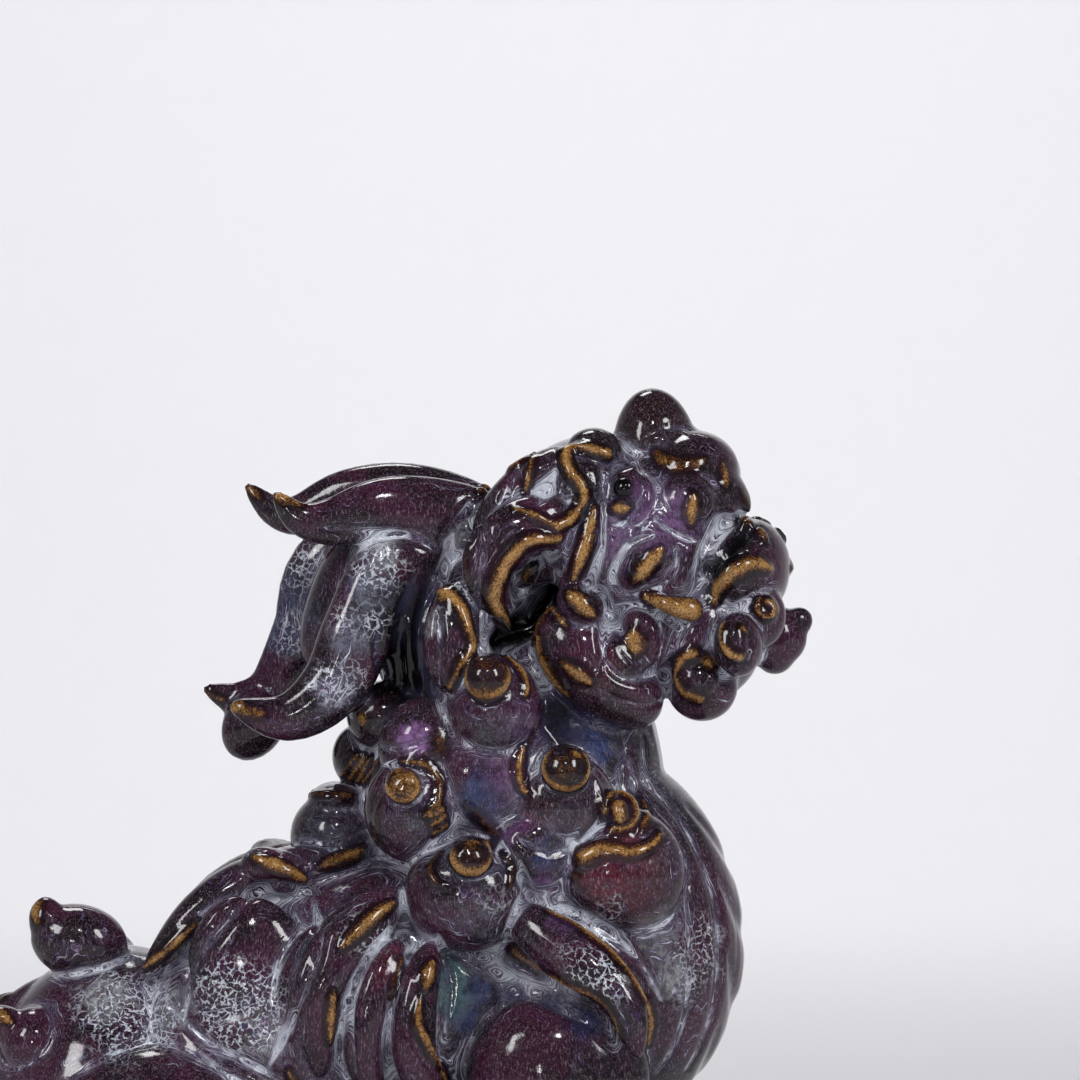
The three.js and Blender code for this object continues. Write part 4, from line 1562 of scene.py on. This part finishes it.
@dataclass
class Statue:
    """The whole figure with its base."""

    parts: list[Part] = field(
        default_factory=lambda: [Trunk(), Limbs(), Head(), Ears(), Crest(), Mane(), Locks(), Tail()]
    )
    base: Base = field(default_factory=Base)
    glaze: Glaze = field(default_factory=Glaze)

    def pools(self) -> list[Pool]:
        """Returns where the glaze ran wine red, blue, teal or grey, where it crazed, and where shade is
        painted near black into the hollows.

        Each colour and hush has its spots: x and z as the camera sees them, reach and share.
        """
        wine, blue, teal = (0.100, 0.007, 0.018), (0.018, 0.030, 0.100), (0.075, 0.150, 0.150)
        ash, steel, crazed = (0.070, 0.080, 0.092), (0.06, 0.08, 0.15), None
        pearl, cream = (0.30, 0.31, 0.34), (0.30, 0.32, 0.33)
        violet, painted_shade, dusk = (0.115, 0.048, 0.150), (0.008, 0.005, 0.005), (0.018, 0.010, 0.020)
        lilac, umber = (0.15, 0.16, 0.22), (0.016, 0.007, 0.007)
        mauve, rose = (0.17, 0.105, 0.195), (0.17, 0.055, 0.14)
        both_sides = {
            (wine, 0.0): [(62.5, 162.5, 13, 0.85), (57.5, 214, 9, 0.4)],
            (wine, 0.3): [(41, 178, 6, 0.45)],
            (umber, 0.3): [(70, 275, 13, 0.85)],
            ((0.016, 0.006, 0.012), 0.3): [(-50, 92, 28, 0.55)],
            ((0.090, 0.010, 0.026), 0.0): [(4, 139, 8, 0.6)],
            ((0.055, 0.008, 0.028), 0.0): [(-24, 136, 12, 0.5)],
            ((0.030, 0.006, 0.016), 0.4): [(40, 117, 14, 0.7)],
            ((0.014, 0.008, 0.014), 0.0): [(78, 150, 16, 0.5)],
            (cream, -0.4): [
                (-66, 131, 8, 0.8), (-57, 141, 6, 0.8), (-49, 129, 8, 0.8), (-26, 120, 7, 0.8),
                (72, 147, 6, 0.8), (75, 135, 6, 0.8),
            ],
            (cream, -0.5): [(23, 246, 4, 0.6), (15.5, 224, 4, 0.6)],
            (teal, 0.75): [(19.5, 138, 5.5, 0.95), (20, 130, 5, 0.9)],
            (blue, 0.6): [
                (23.5, 125, 4.5, 0.9), (27.5, 132.5, 4.5, 0.9), (36, 131.3, 4.5, 0.9),
                (45, 129.5, 4.5, 0.9), (54, 124, 5, 0.9), (28, 181, 8, 0.85),
            ],
            (blue, 0.5): [(44.5, 166, 5, 0.8)],
            ((0.022, 0.045, 0.150), 0.5): [(56.5, 195, 7, 0.9)],
            ((0.040, 0.050, 0.070), 0.0): [(-11, 171, 10, 0.5)],
            ((0.05, 0.07, 0.12), 0.0): [(-20, 226, 12, 0.6)],
            ((0.14, 0.16, 0.165), 0.0): [(81.7, 231, 5, 0.9)],
            (pearl, -0.2): [(33, 138.5, 5, 1.0), (41, 136, 5, 1.0), (50, 132.5, 4.5, 1.0)],
            (pearl, -0.4): [(2, 243, 6, 0.75)],
            (lilac, -0.5): [(-0.5, 233, 6, 0.8), (-5.5, 221, 6, 0.8), (-8.5, 208, 6, 0.8)],
            (violet, 0.0): [
                (67, 252, 9, 0.75), (77, 248, 7, 0.7), (61, 240, 5, 0.6), (73, 228, 5, 0.6),
                (40, 200, 8, 0.55), (35, 172, 6, 0.6), (48, 150, 5, 0.6),
            ],
            (mauve, -0.35): [(62, 246.5, 6, 0.65)],
            (mauve, -0.2): [(74.5, 254, 6, 0.65), (72, 244.5, 5, 0.6)],
            (rose, 0.2): [(35, 187, 6, 0.8)],
            ((0.26, 0.12, 0.32), -0.2): [(11, 195.5, 5, 0.9)],
            ((0.24, 0.12, 0.27), -0.2): [(43, 158.5, 4.5, 0.85)],
            # Painted shade: near black in the hollow behind the neck under the crest, and blue-black in the
            # hollow under the ruff.
            (painted_shade, 1.5): [(9, 224, 13, 0.98), (8, 208, 10, 0.98)],
            ((0.006, 0.008, 0.022), 1.5): [(47, 200.5, 7, 0.95)],
            (ash, 0.0): [(72, 184, 13, 0.55)],
            (ash, -0.4): [(74, 166, 9, 0.4)],
            (ash, -0.45): [(32, 196, 8, 0.5), (13, 171, 8, 0.5)],
            (ash, -0.5): [(51, 173, 8, 0.5), (27, 151, 9, 0.5), (-9, 172, 9, 0.4), (48, 257, 9, 0.3)],
            (dusk, -0.45): [(68, 156, 8, 0.3)],
            (crazed, 0.0): [
                (2, 237, 9, 0.6), (-3, 225, 9, 0.6), (-7, 211, 9, 0.6), (32, 152, 9, 0.4),
                (61, 152, 7, 0.35), (-33, 130, 13, 0.95), (57, 137, 10, 0.9), (-60, 127, 15, 0.9),
                (82, 141, 13, 0.6), (21, 232, 6, 0.8), (-2, 146, 8, 0.6),
            ],
        }
        far_flames = {
            (ash, -0.5): [(-14, 240, 6, 0.5)],
            (steel, -0.6): [(-19, 231, 6, 0.55), (-21.5, 222, 6, 0.55)],
            (crazed, 0.0): [(-17, 236, 9, 0.6), (-20, 223, 8, 0.6)],
        }
        pools = []
        for twin, groups in ((True, both_sides), (False, far_flames)):
            for (tone, hush_and_shade), spots in groups.items():
                pools += [Pool((x, z), reach, share, tone, twin, hush_and_shade) for x, z, reach, share in spots]
        return pools

    def build(self) -> bpy.types.Object:
        """Models, glazes and fires the figure: one piece in place of the plain solid."""
        clay = Clay()
        self.base.press(clay)
        for part in self.parts:
            part.press(clay)
        strokes = [stroke for part in self.parts for stroke in part.strokes()]
        skin = Skin()
        piece = skin.draw(clay, strokes, self.pools())
        piece.data.materials.clear()
        piece.data.materials.append(self.glaze.material())
        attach(piece, "root")
        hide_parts(NODE)
        LOG.info("%s: %d faces", piece.name, len(piece.data.polygons))
        return piece


def main() -> None:
    """Builds the statue and the studio."""
    logging.basicConfig(level=logging.INFO)
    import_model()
    Statue().build()
    Studio().build()


if __name__ == "__main__":
    main()
